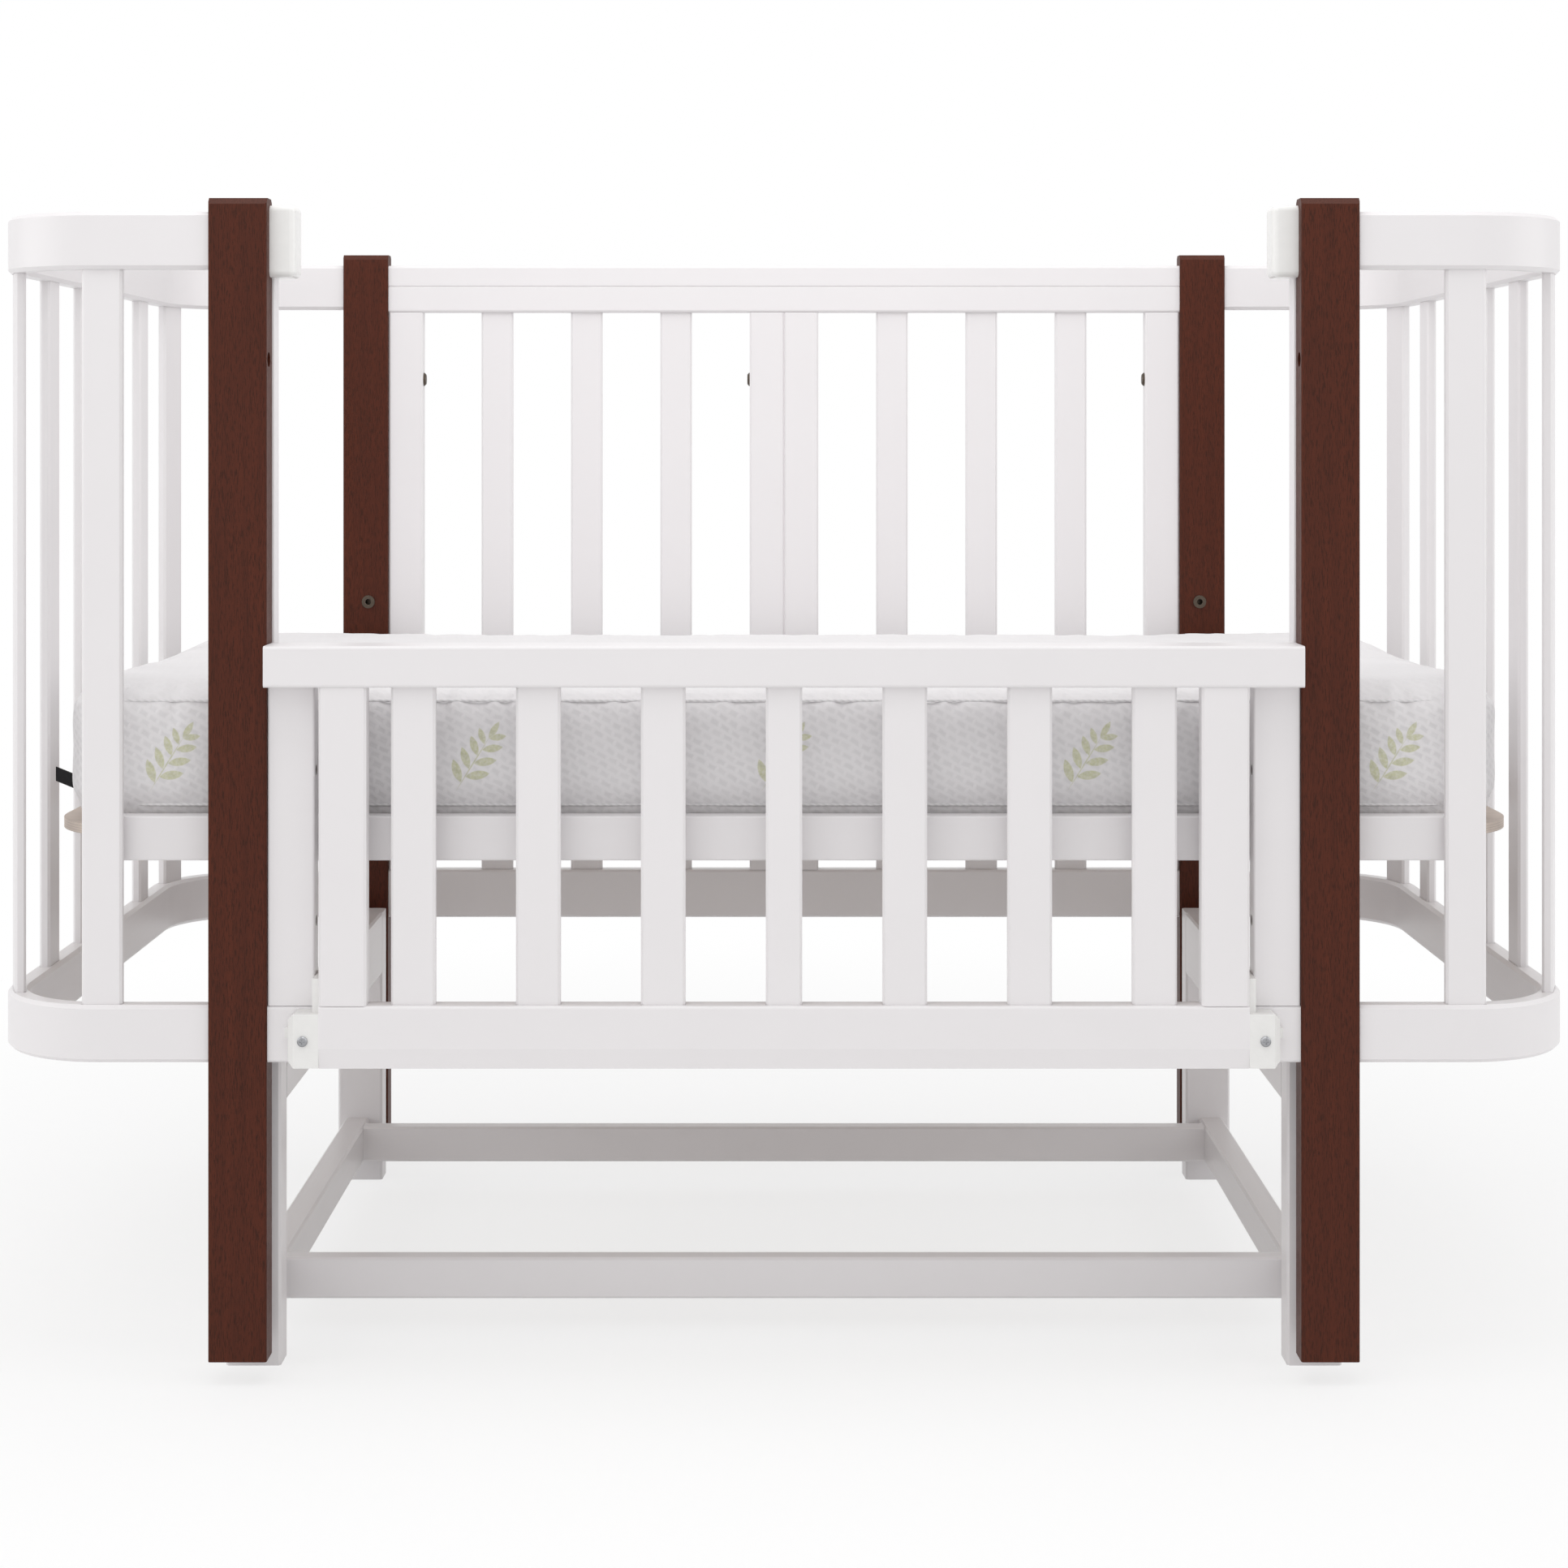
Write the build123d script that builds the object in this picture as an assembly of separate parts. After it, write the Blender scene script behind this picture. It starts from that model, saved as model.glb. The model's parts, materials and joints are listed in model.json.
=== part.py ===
from build123d import *
import os
from math import cos, degrees, pi, sin

# A baby cot that swings lengthwise on a floor-standing base, with a front gate that slides up.
# Millimetres, +Z up, front towards -Y. The origin is on the floor, under the middle of the box.

# The cot is laid out round its mattress
MATTRESS_L = 1200.0
MATTRESS_W = 597.0
MATTRESS_END_GAP = 46.0   # from an end of the mattress to the outside of the rounded end
MATTRESS_SIDE_CLEAR = 1.0
POST_END_GAP = 138.5      # from an end of the mattress to the outer face of a post
GATE_PROUD = 20.0         # how far the gate's cap stands in front of the posts

# Posts
POST_W = 47.0
POST_D = 25.0
POST_FOOT_Z = 20.0        # the feet hang clear of the floor
POST_TOP_Z = 953.0
POST_TOP_BEVEL = 5.0
POST_EASE = 2.0

# Rails of the cot
RAIL_T = 18.0
RAIL_H = 46.0
RAIL_EASE = 3.0
TOP_RAIL_DROP = 11.0      # top of the end rails below the tops of the posts
BOTTOM_RAIL_Z = 259.0
END_RADIUS = 95.0         # outside corner of the rounded ends
REAR_TOP_RAIL_H = 49.0
REAR_BOTTOM_RAIL_H = 50.0
REAR_GROOVE_DROP = 22.0   # shadow line below the top of the rear rail
REAR_GROOVE = 1.6

# Slats and stiles
SLAT_T = 9.0
SLAT_EASE = 2.0
TENON = 8.0
MORTISE_CLEAR = 0.15
END_SLAT_W = 32.5
END_SLAT_PITCH = 109.0
END_SLATS = 8
REAR_SLAT_W = 33.0
REAR_SLATS = 3            # in each half of the rear fence
REAR_STILE_W = 36.0
FRONT_STILE_W = 38.0
STILE_EASE = 2.0

# Blocks at the tops of the front posts, and the liners that stand behind those posts
END_BLOCK_W = 21.0
END_BLOCK_H = 58.0
END_BLOCK_SET = 12.0      # behind the front of the posts
END_BLOCK_EASE = 5.0
LINER_W = 14.5
LINER_D = 18.0
LINER_LIP = 2.0           # how far a liner shows past the inner face of its post

# Gate
GATE_T = 18.0
GATE_SET_BACK = 2.0       # frame of the gate behind the front of its cap
GATE_RAIL_H = 50.0
GATE_RAIL_BEVEL_H = 16.0
GATE_RAIL_BEVEL = 2.0
GATE_STILE_W = 38.0
GATE_STILE_H = 253.0
GATE_SLAT_W = 35.5
GATE_LAST_GAP = 19.0      # between the last slat and the stile
GATE_SLATS = 3            # on each side of the narrow middle slat
GATE_MIDDLE_SLAT_W = 29.0
CAP_H = 33.0
CAP_D = 42.0
CAP_SIDE_CLEAR = 1.0
CAP_EASE = 2.5
GATE_TRAVEL = 245.0

# Sliders that run on the inner edges of the fixed front stiles
SLIDER_W = 25.0
SLIDER_H = 43.0
SLIDER_DROP = 3.0         # below the middle of the gate's bottom rail
SLIDER_WEB = 6.0
SLIDER_FLANGE_T = 2.4
SLIDER_FLANGE_REACH = 12.0
SLIDER_CLEAR = 0.5
SLIDER_BEVEL = 5.0
SLIDER_EAR = 4.0
SLIDER_EAR_H = 8.0
SLIDER_CHANNEL_H = 24.0   # height of the channel above the fixed bottom rail
SLIDER_ARM_D = 14.0       # depth of the arm that joins the channel to the front block
SLIDER_ARM_LAP = 12.0
TONGUE_L = 18.0
TONGUE_T = 8.0
TONGUE_H = 30.0
TONGUE_CLEAR = 0.2
SCREW_HEAD_R = 4.2
SCREW_HEAD_H = 2.0
SCREW_R = 2.0
SCREW_L = 15.0
SCREW_CROSS_W = 1.2

# Latch pins in the ends of the cap
LATCH_R = 5.5
LATCH_L = 40.0
LATCH_THROW = 9.0
LATCH_Y = 10.0            # behind the front of the posts
LATCH_RUN_CLEAR = 0.06
LATCH_HOLE_R = 6.0
LATCH_HOLE_DEPTH = 12.0
LATCH_SPRING_ROOM = 14.0

# Bed base and mattress
BED_RAIL_Z = 418.0
BED_RAIL_H = 36.0
BED_RAIL_SHORT = 47.0     # the rails end this far inside the ends of the deck
DECK_T = 8.0
DECK_Z = 434.0
DECK_TIP = 9.0            # how far the deck shows past each end of the mattress
DECK_RADIUS = 90.0
BATTEN_W = 60.0
BATTENS = 3
BATTEN_END = 62.0         # from an end of the bed rails to the nearest batten
MATTRESS_H = 119.0
MATTRESS_EDGE_H = 103.0   # height of the upper piped edge
MATTRESS_FOOT = 18.0      # height of the lower edge, below which the sides are tucked in
MATTRESS_TUCK = 10.0
MATTRESS_RADIUS = 80.0
MATTRESS_WAIST = 4.0      # how far the sides draw in
MATTRESS_ROLL = 7.0       # roll of the upper edge
CROWN_SHOULDER = 24.0
CROWN_FLAT = 150.0

# Bolts
BOLT_R = 3.0
BOLT_HOLE_CLEAR = 0.1
BUTTON_HEAD_R = 7.0
BUTTON_HEAD_H = 2.5
SUNK_HEAD_R = 4.4
SUNK_HEAD_H = 3.0
SUNK_BY = 0.5             # sunk heads lie this far below the surface
BOLT_GRIP = 18.0          # length of a bolt in the piece that it draws up
INSERT_FLANGE_R = 6.8
INSERT_FLANGE_H = 1.5
INSERT_BODY_R = 4.5
INSERT_L = 14.0
LEVEL_INSERT_Z = 590.0
BED_BOLT_Z = 445.0
REAR_BOLT_Z = 350.0       # the lower bolts of the rear fence
REAR_BOLT_DROP = 70.0     # the upper ones, below the rear top rail
FRONT_BOLT_ZS = (372.0, 493.0)
HIDDEN_SIDES = 8          # bolt shanks and their holes are eight-sided
HEAD_SIDES = 16           # small round heads are sixteen-sided
COLLAR_SIDES = 6

# Base frame
LEG_W = 45.0
LEG_D = 28.0
LEG_H = 274.0
LEG_EASE = 2.0
LEG_INBOARD = 2.0         # legs stand this far inboard of the posts
LEG_GAP = 26.0            # between a post and the leg behind it
SIDE_RAIL_T = 18.0
SIDE_RAIL_H = 63.0
STRETCHER_T = 18.0
SIDE_STRETCHER_T = 24.0
STRETCHER_H = 35.0
STRETCHER_Z = 28.5
FRONT_STRETCHER_SET = 54.0
REAR_STRETCHER_SET = 20.0
BASE_EASE = 2.0
BASE_TENON_L = 18.0
BASE_TENON_SIDE = 4.0     # shoulders of the tenons, across and up
BASE_TENON_END = 6.0

# Swing links
PIVOT_Z = 250.0
LINK_L = 100.0
LINK_T = 8.0
LINK_EYE_R = 14.0
LINK_WAIST_R = 9.0
PIN_R = 5.0
PIN_RUN_CLEAR = 0.06
PIN_COLLAR_R = 9.0
PIN_HEAD_R = 8.0
PIN_HEAD_H = 2.7
PIN_SIDE_CLEAR = 0.3
PIN_SEAT = 17.0           # length of a pin inside the wood

# Places worked out from the sizes above
COT_LENGTH = MATTRESS_L + 2 * MATTRESS_END_GAP
COT_DEPTH = MATTRESS_W + 2 * (MATTRESS_SIDE_CLEAR + RAIL_T + POST_D)
DECK_L = MATTRESS_L + 2 * DECK_TIP
BED_RAIL_L = DECK_L - 2 * BED_RAIL_SHORT
BATTEN_PITCH = (BED_RAIL_L - BATTEN_W - 2 * BATTEN_END) / (BATTENS - 1)
POST_OUT = MATTRESS_L / 2 - POST_END_GAP
POST_IN = POST_OUT - POST_W
END_X = COT_LENGTH / 2
FRONT_Y = (GATE_PROUD - COT_DEPTH) / 2
REAR_Y = FRONT_Y + COT_DEPTH
MID_Y = (FRONT_Y + REAR_Y) / 2
RAIL_INSET = (POST_D - RAIL_T) / 2
FRONT_RAIL_Y = (FRONT_Y + RAIL_INSET, FRONT_Y + RAIL_INSET + RAIL_T)
REAR_RAIL_Y = (REAR_Y - RAIL_INSET - RAIL_T, REAR_Y - RAIL_INSET)
TOP_RAIL_Z = POST_TOP_Z - TOP_RAIL_DROP - RAIL_H
BOTTOM_RAIL_TOP = BOTTOM_RAIL_Z + RAIL_H
REAR_TOP_RAIL_Z = TOP_RAIL_Z + RAIL_H - REAR_TOP_RAIL_H
REAR_BOLT_ZS = (REAR_BOLT_Z, REAR_TOP_RAIL_Z - REAR_BOLT_DROP)
REAR_BOTTOM_RAIL_TOP = BOTTOM_RAIL_Z + REAR_BOTTOM_RAIL_H
FRONT_STILE_IN = POST_IN - FRONT_STILE_W
GATE_END = FRONT_STILE_IN - SLIDER_CLEAR - SLIDER_WEB
GATE_STILE_IN = GATE_END - GATE_STILE_W
GATE_SLAT_ROOM = GATE_STILE_IN - GATE_LAST_GAP - GATE_MIDDLE_SLAT_W / 2
GATE_SLAT_GAP = GATE_SLAT_ROOM / GATE_SLATS - GATE_SLAT_W
GATE_Y = (FRONT_Y - GATE_PROUD + GATE_SET_BACK, FRONT_Y - GATE_PROUD + GATE_SET_BACK + GATE_T)
GATE_SLAT_Y = (GATE_Y[0] + GATE_Y[1]) / 2
GATE_RAIL_TOP = BOTTOM_RAIL_Z + GATE_RAIL_H
CAP_Z = GATE_RAIL_TOP + GATE_STILE_H
CAP_END = POST_IN - CAP_SIDE_CLEAR
LATCH_Z = CAP_Z + CAP_H / 2
BED_RAIL_TOP = BED_RAIL_Z + BED_RAIL_H
DECK_TOP = DECK_Z + DECK_T
BED_FRONT_Y = (FRONT_Y + POST_D, FRONT_Y + POST_D + RAIL_T)
BED_REAR_Y = (REAR_Y - POST_D - RAIL_T, REAR_Y - POST_D)
BED_WIDTH = BED_REAR_Y[0] - BED_FRONT_Y[1]
LEG_IN = POST_IN - LEG_INBOARD
LEG_X = LEG_IN + LEG_W / 2
FRONT_LEG_Y = (FRONT_Y + POST_D + LEG_GAP, FRONT_Y + POST_D + LEG_GAP + LEG_D)
REAR_LEG_Y = (REAR_Y - POST_D - LEG_GAP - LEG_D, REAR_Y - POST_D - LEG_GAP)
SIDE_STRETCHER_IN = LEG_X - STRETCHER_T / 2
LINK_GAP = (LEG_GAP - LINK_T) / 2
LINK_FOOT_Z = PIVOT_Z - LINK_L

SIDES = {"left": -1, "right": 1}
ENDS = {"front": 1, "rear": -1}


def block(x, y, z):
    """A squared block between three pairs of limits."""
    size = [abs(pair[1] - pair[0]) for pair in (x, y, z)]
    middle = [(pair[0] + pair[1]) / 2 for pair in (x, y, z)]
    return Pos(*middle) * Box(*size)


def eased(body, ease, axis):
    """The body with the edges along one axis rounded."""
    return fillet(body.edges().filter_by(axis), ease)


def bar(x, y, z, ease, axis):
    """A squared bar whose long edges are rounded."""
    return eased(block(x, y, z), ease, axis)


def planed_bar(x, y, z, ease, axis):
    """A squared bar whose long edges are planed off."""
    body = block(x, y, z)
    return chamfer(body.edges().filter_by(axis), ease)


def rod(start, direction, radius, length):
    """A round rod from a point along a direction."""
    return Plane(start, z_dir=direction) * Pos(0, 0, length / 2) * Cylinder(radius, length)


def prism(start, direction, radius, length, sides):
    """A straight rod with flat sides from a point along a direction."""
    return extrude(Plane(start, z_dir=direction) * RegularPolygon(radius, sides), length)


def shank(start, direction, radius, length):
    """A hidden shank, or the hole for one."""
    return prism(start, direction, radius, length, HIDDEN_SIDES)


def end_face_y(end, depth):
    """The y of a plane that lies a depth behind the outer face of the posts at one end."""
    return FRONT_Y + depth if end == "front" else REAR_Y - depth


def post(side, end):
    """An upright with a bevelled top, bored for its pin, insert, bolt and latch."""
    x = (side * POST_IN, side * POST_OUT)
    y = (end_face_y(end, 0), end_face_y(end, POST_D))
    z = (POST_FOOT_Z, POST_TOP_Z)
    column = bar(x, y, z, POST_EASE, Axis.Z)
    hood = block(x, y, z)
    top_edges = hood.faces().sort_by(Axis.Z)[-1].edges().filter_by(Axis.X)
    body = column & chamfer(top_edges, POST_TOP_BEVEL)
    outward = (0, -ENDS[end], 0)
    inner_y = end_face_y(end, POST_D)
    body -= shank((side * LEG_X, inner_y, LINK_FOOT_Z), outward, PIN_R + BOLT_HOLE_CLEAR, PIN_SEAT)
    body -= shank((side * LEG_X, inner_y, LEVEL_INSERT_Z), outward, INSERT_BODY_R + BOLT_HOLE_CLEAR, INSERT_L)
    body -= shank((side * LEG_X, inner_y, BED_BOLT_Z), outward, BOLT_R + BOLT_HOLE_CLEAR, BOLT_GRIP)
    bolt_zs = FRONT_BOLT_ZS if end == "front" else REAR_BOLT_ZS
    for z_bolt in bolt_zs:
        body -= shank((side * POST_IN, end_face_y(end, POST_D / 2), z_bolt), (side, 0, 0),
                      BOLT_R + BOLT_HOLE_CLEAR, BOLT_GRIP)
    if end == "front":
        for z_latch in (LATCH_Z, LATCH_Z + GATE_TRAVEL):
            body -= rod((side * POST_IN, FRONT_Y + LATCH_Y, z_latch), (side, 0, 0),
                        LATCH_HOLE_R, LATCH_HOLE_DEPTH)
    return body


def slat(place, width, bottom, top):
    """A flat slat with planed edges, standing between two heights."""
    body = Box(SLAT_T, width, top - bottom)
    body = chamfer(body.edges().filter_by(Axis.Z), SLAT_EASE)
    return place * Pos(0, 0, (bottom + top) / 2) * body


def slat_row(places, width, bottom, top):
    """Slats whose tenons enter the rails below and above, as separate solids."""
    return [slat(place, width, bottom - TENON, top + TENON) for place in places]


def mortises(places, width, face, inward):
    """The pockets that one end of a row of slats seats in."""
    depth = TENON + MORTISE_CLEAR
    middle = face + inward * depth / 2
    pocket = Box(SLAT_T + 2 * MORTISE_CLEAR, width + 2 * MORTISE_CLEAR, depth)
    return [place * Pos(0, 0, middle) * pocket for place in places]


def end_slat_places(side):
    """Where the slats stand, evenly spaced along the middle line of a rounded end."""
    radius = END_RADIUS - RAIL_T / 2
    straight = (COT_DEPTH - 2 * RAIL_INSET) / 2 - END_RADIUS
    corner_x = END_X - END_RADIUS
    places = []
    for i in range(END_SLATS):
        along = (i - (END_SLATS - 1) / 2) * END_SLAT_PITCH
        way = 1 if along > 0 else -1
        turn = max(0.0, abs(along) - straight) / radius
        turn = min(turn, pi / 2)
        run = max(0.0, abs(along) - straight - radius * pi / 2)
        x = corner_x + radius * cos(turn) - run
        y = MID_Y + way * (min(abs(along), straight) + radius * sin(turn))
        places.append(Pos(side * x, y, 0) * Rot(0, 0, side * way * degrees(turn)))
    return places


def end_rail(side, bottom):
    """A rail bent round one end of the cot, from the rear post to the front post."""
    outer = (FRONT_RAIL_Y[0], REAR_RAIL_Y[1])
    inner = (FRONT_RAIL_Y[1], REAR_RAIL_Y[0])
    outside = FilletPolyline(
        (POST_OUT, outer[0]), (END_X, outer[0]), (END_X, outer[1]), (POST_OUT, outer[1]),
        radius=END_RADIUS)
    inside = FilletPolyline(
        (POST_OUT, inner[0]), (END_X - RAIL_T, inner[0]), (END_X - RAIL_T, inner[1]), (POST_OUT, inner[1]),
        radius=END_RADIUS - RAIL_T)
    front_end = Line((POST_OUT, outer[0]), (POST_OUT, inner[0]))
    rear_end = Line((POST_OUT, outer[1]), (POST_OUT, inner[1]))
    plan = make_face(Curve() + outside + inside + front_end + rear_end)
    body = extrude(plan, RAIL_H)
    long_edges = [edge for edge in body.edges() if edge.center().X > POST_OUT + RAIL_EASE
                  and abs(edge.tangent_at(0.5).Z) < 0.5]
    body = Pos(0, 0, bottom) * chamfer(long_edges, RAIL_EASE)
    return body if side > 0 else mirror(body, Plane.YZ)


def rear_slat_places(side):
    """Slats share the clear width between the two stiles of a half fence evenly."""
    clear = POST_IN - 2 * REAR_STILE_W
    gap = (clear - REAR_SLATS * REAR_SLAT_W) / (REAR_SLATS + 1)
    rear_y = (REAR_RAIL_Y[0] + REAR_RAIL_Y[1]) / 2
    firsts = [REAR_STILE_W + gap * (i + 1) + REAR_SLAT_W * (i + 0.5) for i in range(REAR_SLATS)]
    return [Pos(side * x, rear_y, 0) * Rot(0, 0, 90) for x in firsts]


def rear_rail(bottom, height):
    """A straight rail between the rear posts."""
    return bar((-POST_IN, POST_IN), REAR_RAIL_Y, (bottom, bottom + height), RAIL_EASE, Axis.X)


def rear_top_rail():
    """The upper rear rail, with a shadow groove along both faces."""
    body = rear_rail(REAR_TOP_RAIL_Z, REAR_TOP_RAIL_H)
    groove_z = REAR_TOP_RAIL_Z + REAR_TOP_RAIL_H - REAR_GROOVE_DROP
    groove = Box(2 * POST_IN, REAR_GROOVE, REAR_GROOVE)
    for y in REAR_RAIL_Y:
        body -= Pos(0, y, groove_z) * Rot(45, 0, 0) * groove
    return body


def rear_stile(side, near_post):
    """An upright of a half fence, against a post or against its twin in the middle."""
    near = POST_IN - REAR_STILE_W if near_post else 0.0
    x = (side * near, side * (near + REAR_STILE_W))
    body = planed_bar(x, REAR_RAIL_Y, (REAR_BOTTOM_RAIL_TOP, REAR_TOP_RAIL_Z), STILE_EASE, Axis.Z)
    rear_y = (REAR_RAIL_Y[0] + REAR_RAIL_Y[1]) / 2
    for z in REAR_BOLT_ZS:
        body -= shank((side * near, rear_y, z), (side, 0, 0), BOLT_R + BOLT_HOLE_CLEAR, REAR_STILE_W)
    return body


def front_stile(side):
    """A fixed upright inside a front post, on which the gate runs and its cap rests."""
    x = (side * FRONT_STILE_IN, side * POST_IN)
    body = bar(x, FRONT_RAIL_Y, (BOTTOM_RAIL_TOP, CAP_Z), STILE_EASE, Axis.Z)
    y = (FRONT_RAIL_Y[0] + FRONT_RAIL_Y[1]) / 2
    for z in FRONT_BOLT_ZS:
        body -= sunk_hole((side * FRONT_STILE_IN, y, z), (side, 0, 0), FRONT_STILE_W)
    return body


def end_block_z():
    """Foot and top of the end blocks, centred on the end rail."""
    middle = TOP_RAIL_Z + RAIL_H / 2
    return middle - END_BLOCK_H / 2, middle + END_BLOCK_H / 2


def rail_end_block(side):
    """A rounded block at the top of a front post's inner face, over its liner."""
    x = (side * (POST_IN - END_BLOCK_W), side * POST_IN)
    y = (FRONT_Y + END_BLOCK_SET, FRONT_Y + POST_D + LINER_D)
    body = block(x, y, end_block_z())
    seat = body.faces().sort_by(Axis.X)[0 if side > 0 else -1]
    free_edges = ShapeList(body.edges().filter_by(Axis.X) + seat.edges())
    return fillet(free_edges, END_BLOCK_EASE)


def post_liner(side):
    """A strip behind a front post, from the bed rail up to the end block."""
    near = POST_IN - LINER_LIP
    x = (side * near, side * (near + LINER_W))
    y = (FRONT_Y + POST_D, FRONT_Y + POST_D + LINER_D)
    return planed_bar(x, y, (BED_RAIL_TOP, end_block_z()[0]), LINER_LIP / 2, Axis.Z)


def gate_slat_places():
    """The wide slats stand with even gaps on both sides of the middle one."""
    first = (GATE_MIDDLE_SLAT_W + GATE_SLAT_W) / 2 + GATE_SLAT_GAP
    xs = [first + i * (GATE_SLAT_W + GATE_SLAT_GAP) for i in range(GATE_SLATS)]
    return [Pos(side * x, GATE_SLAT_Y, 0) * Rot(0, 0, 90) for side in SIDES.values() for x in xs]


MIDDLE_SLAT_PLACE = [Pos(0, GATE_SLAT_Y, 0) * Rot(0, 0, 90)]


def gate_slats():
    """All slats of the gate, with tenons in the rail and the cap."""
    wide = slat_row(gate_slat_places(), GATE_SLAT_W, GATE_RAIL_TOP, CAP_Z)
    return wide + slat_row(MIDDLE_SLAT_PLACE, GATE_MIDDLE_SLAT_W, GATE_RAIL_TOP, CAP_Z)


def gate_mortises(face, inward):
    """The pockets for one end of the gate's slats."""
    wide = mortises(gate_slat_places(), GATE_SLAT_W, face, inward)
    return wide + mortises(MIDDLE_SLAT_PLACE, GATE_MIDDLE_SLAT_W, face, inward)


def gate_cap():
    """The gate's top bar, bored at both ends for the latch pins."""
    y = (FRONT_Y - GATE_PROUD, FRONT_Y - GATE_PROUD + CAP_D)
    body = bar((-CAP_END, CAP_END), y, (CAP_Z, CAP_Z + CAP_H), CAP_EASE, Axis.X)
    for side in SIDES.values():
        body -= rod((side * CAP_END, FRONT_Y + LATCH_Y, LATCH_Z), (-side, 0, 0),
                    LATCH_R + LATCH_RUN_CLEAR, LATCH_L + LATCH_SPRING_ROOM)
    return body - gate_mortises(CAP_Z, 1)


def latch_pin(side):
    """A round-nosed pin drawn into the end of the cap; it springs out into the post's holes."""
    nose = side * (CAP_END - MORTISE_CLEAR)
    body = rod((nose, FRONT_Y + LATCH_Y, LATCH_Z), (-side, 0, 0), LATCH_R, LATCH_L)
    tip = body.faces().sort_by(Axis.X)[-1 if side > 0 else 0]
    return chamfer(tip.edges(), LATCH_R / 3)


def tongue(side, grow=0.0):
    """The tongue on the end of the gate's bottom rail that carries a slider."""
    x = (side * GATE_END, side * (GATE_END + TONGUE_L + grow))
    y = (GATE_Y[1] - TONGUE_T - grow, GATE_Y[1] + grow)
    middle = slider_middle()
    z = (middle - TONGUE_H / 2 - grow, middle + TONGUE_H / 2 + grow)
    return block(x, y, z)


def slider_middle():
    """Height of the middle of the sliders, a little below the middle of the bottom rail."""
    return BOTTOM_RAIL_Z + GATE_RAIL_H / 2 - SLIDER_DROP


def screw_hole(side):
    """The pilot hole of a slider's screw."""
    x = side * (GATE_END + SLIDER_W / 2)
    return shank((x, GATE_Y[0], slider_middle()), (0, 1, 0),
                 SCREW_R + BOLT_HOLE_CLEAR, SCREW_L + TONGUE_CLEAR)


def gate_bottom_rail():
    """The gate's bottom rail: a bevel along the front foot, and a tongue at each end."""
    back, front = GATE_Y[1], GATE_Y[0]
    foot, bevel_top = BOTTOM_RAIL_Z, BOTTOM_RAIL_Z + GATE_RAIL_BEVEL_H
    profile = Polyline(
        (back, foot), (front + GATE_RAIL_BEVEL, foot), (front, bevel_top), (front, GATE_RAIL_TOP),
        (back, GATE_RAIL_TOP), close=True)
    section = Plane((-GATE_END, 0, 0), x_dir=(0, 1, 0), z_dir=(1, 0, 0)) * make_face(profile)
    body = extrude(section, 2 * GATE_END)
    top_edges = body.faces().sort_by(Axis.Z)[-1].edges().filter_by(Axis.X)
    body = fillet(top_edges, CAP_EASE)
    for side in SIDES.values():
        body += tongue(side)
        body -= screw_hole(side)
    return body - gate_mortises(GATE_RAIL_TOP, -1)


def gate_stile(side):
    """An end upright of the gate, between the bottom rail and the cap."""
    x = (side * GATE_STILE_IN, side * GATE_END)
    return planed_bar(x, GATE_Y, (GATE_RAIL_TOP, CAP_Z), STILE_EASE, Axis.Z)


def gate_slider(side):
    """A moulded slider: a bevelled front block with a channel round the fixed stile's edge."""
    middle = slider_middle()
    z = (middle - SLIDER_H / 2, middle + SLIDER_H / 2)
    front = GATE_Y[0]
    stile_front, stile_back = FRONT_RAIL_Y
    body = block((side * GATE_END, side * (GATE_END + SLIDER_W)), (front, stile_front - SLIDER_CLEAR), z)
    outer_edges = [edge for edge in body.edges()
                   if abs(edge.center().X) > GATE_END + SLIDER_W - SLIDER_CLEAR and edge.center().Y < GATE_Y[1]]
    body = chamfer(outer_edges, SLIDER_BEVEL)
    ear_x = (side * (GATE_END + SLIDER_W), side * (GATE_END + SLIDER_W + SLIDER_EAR))
    ear_y = (stile_front - SLIDER_CLEAR - SLIDER_EAR_H, stile_front - SLIDER_CLEAR)
    body += block(ear_x, ear_y, (middle, middle + SLIDER_EAR_H))
    gap_x = (side * GATE_END, side * (GATE_END + SLIDER_WEB))
    flange_x = (side * GATE_END, side * (GATE_END + SLIDER_WEB + SLIDER_FLANGE_REACH))
    flange_y = (stile_back + SLIDER_CLEAR, stile_back + SLIDER_CLEAR + SLIDER_FLANGE_T)
    channel_z = (BOTTOM_RAIL_TOP + SLIDER_CLEAR, BOTTOM_RAIL_TOP + SLIDER_CLEAR + SLIDER_CHANNEL_H)
    arm_front = stile_front - SLIDER_CLEAR - SLIDER_ARM_D
    body += block(gap_x, (arm_front, stile_front - SLIDER_CLEAR), (z[1] - SLIDER_ARM_LAP, channel_z[1]))
    body += block(gap_x, (arm_front, flange_y[1]), channel_z)
    body += block(flange_x, flange_y, channel_z)
    body -= tongue(side, TONGUE_CLEAR)
    return body - screw_hole(side)


def slider_screw(side):
    """A pan-head screw with a cross recess that holds a slider on the gate's tongue."""
    x = side * (GATE_END + SLIDER_W / 2)
    front = GATE_Y[0]
    middle = slider_middle()
    head = prism((x, front, middle), (0, -1, 0), SCREW_HEAD_R, SCREW_HEAD_H, HEAD_SIDES)
    head = chamfer(head.faces().sort_by(Axis.Y)[0].edges(), SCREW_HEAD_H / 2)
    cross = Box(SCREW_HEAD_R, SCREW_HEAD_H, SCREW_CROSS_W) + Box(SCREW_CROSS_W, SCREW_HEAD_H, SCREW_HEAD_R)
    head -= Pos(x, front - SCREW_HEAD_H, middle) * cross
    return head + shank((x, front, middle), (0, 1, 0), SCREW_R, SCREW_L)


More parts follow.
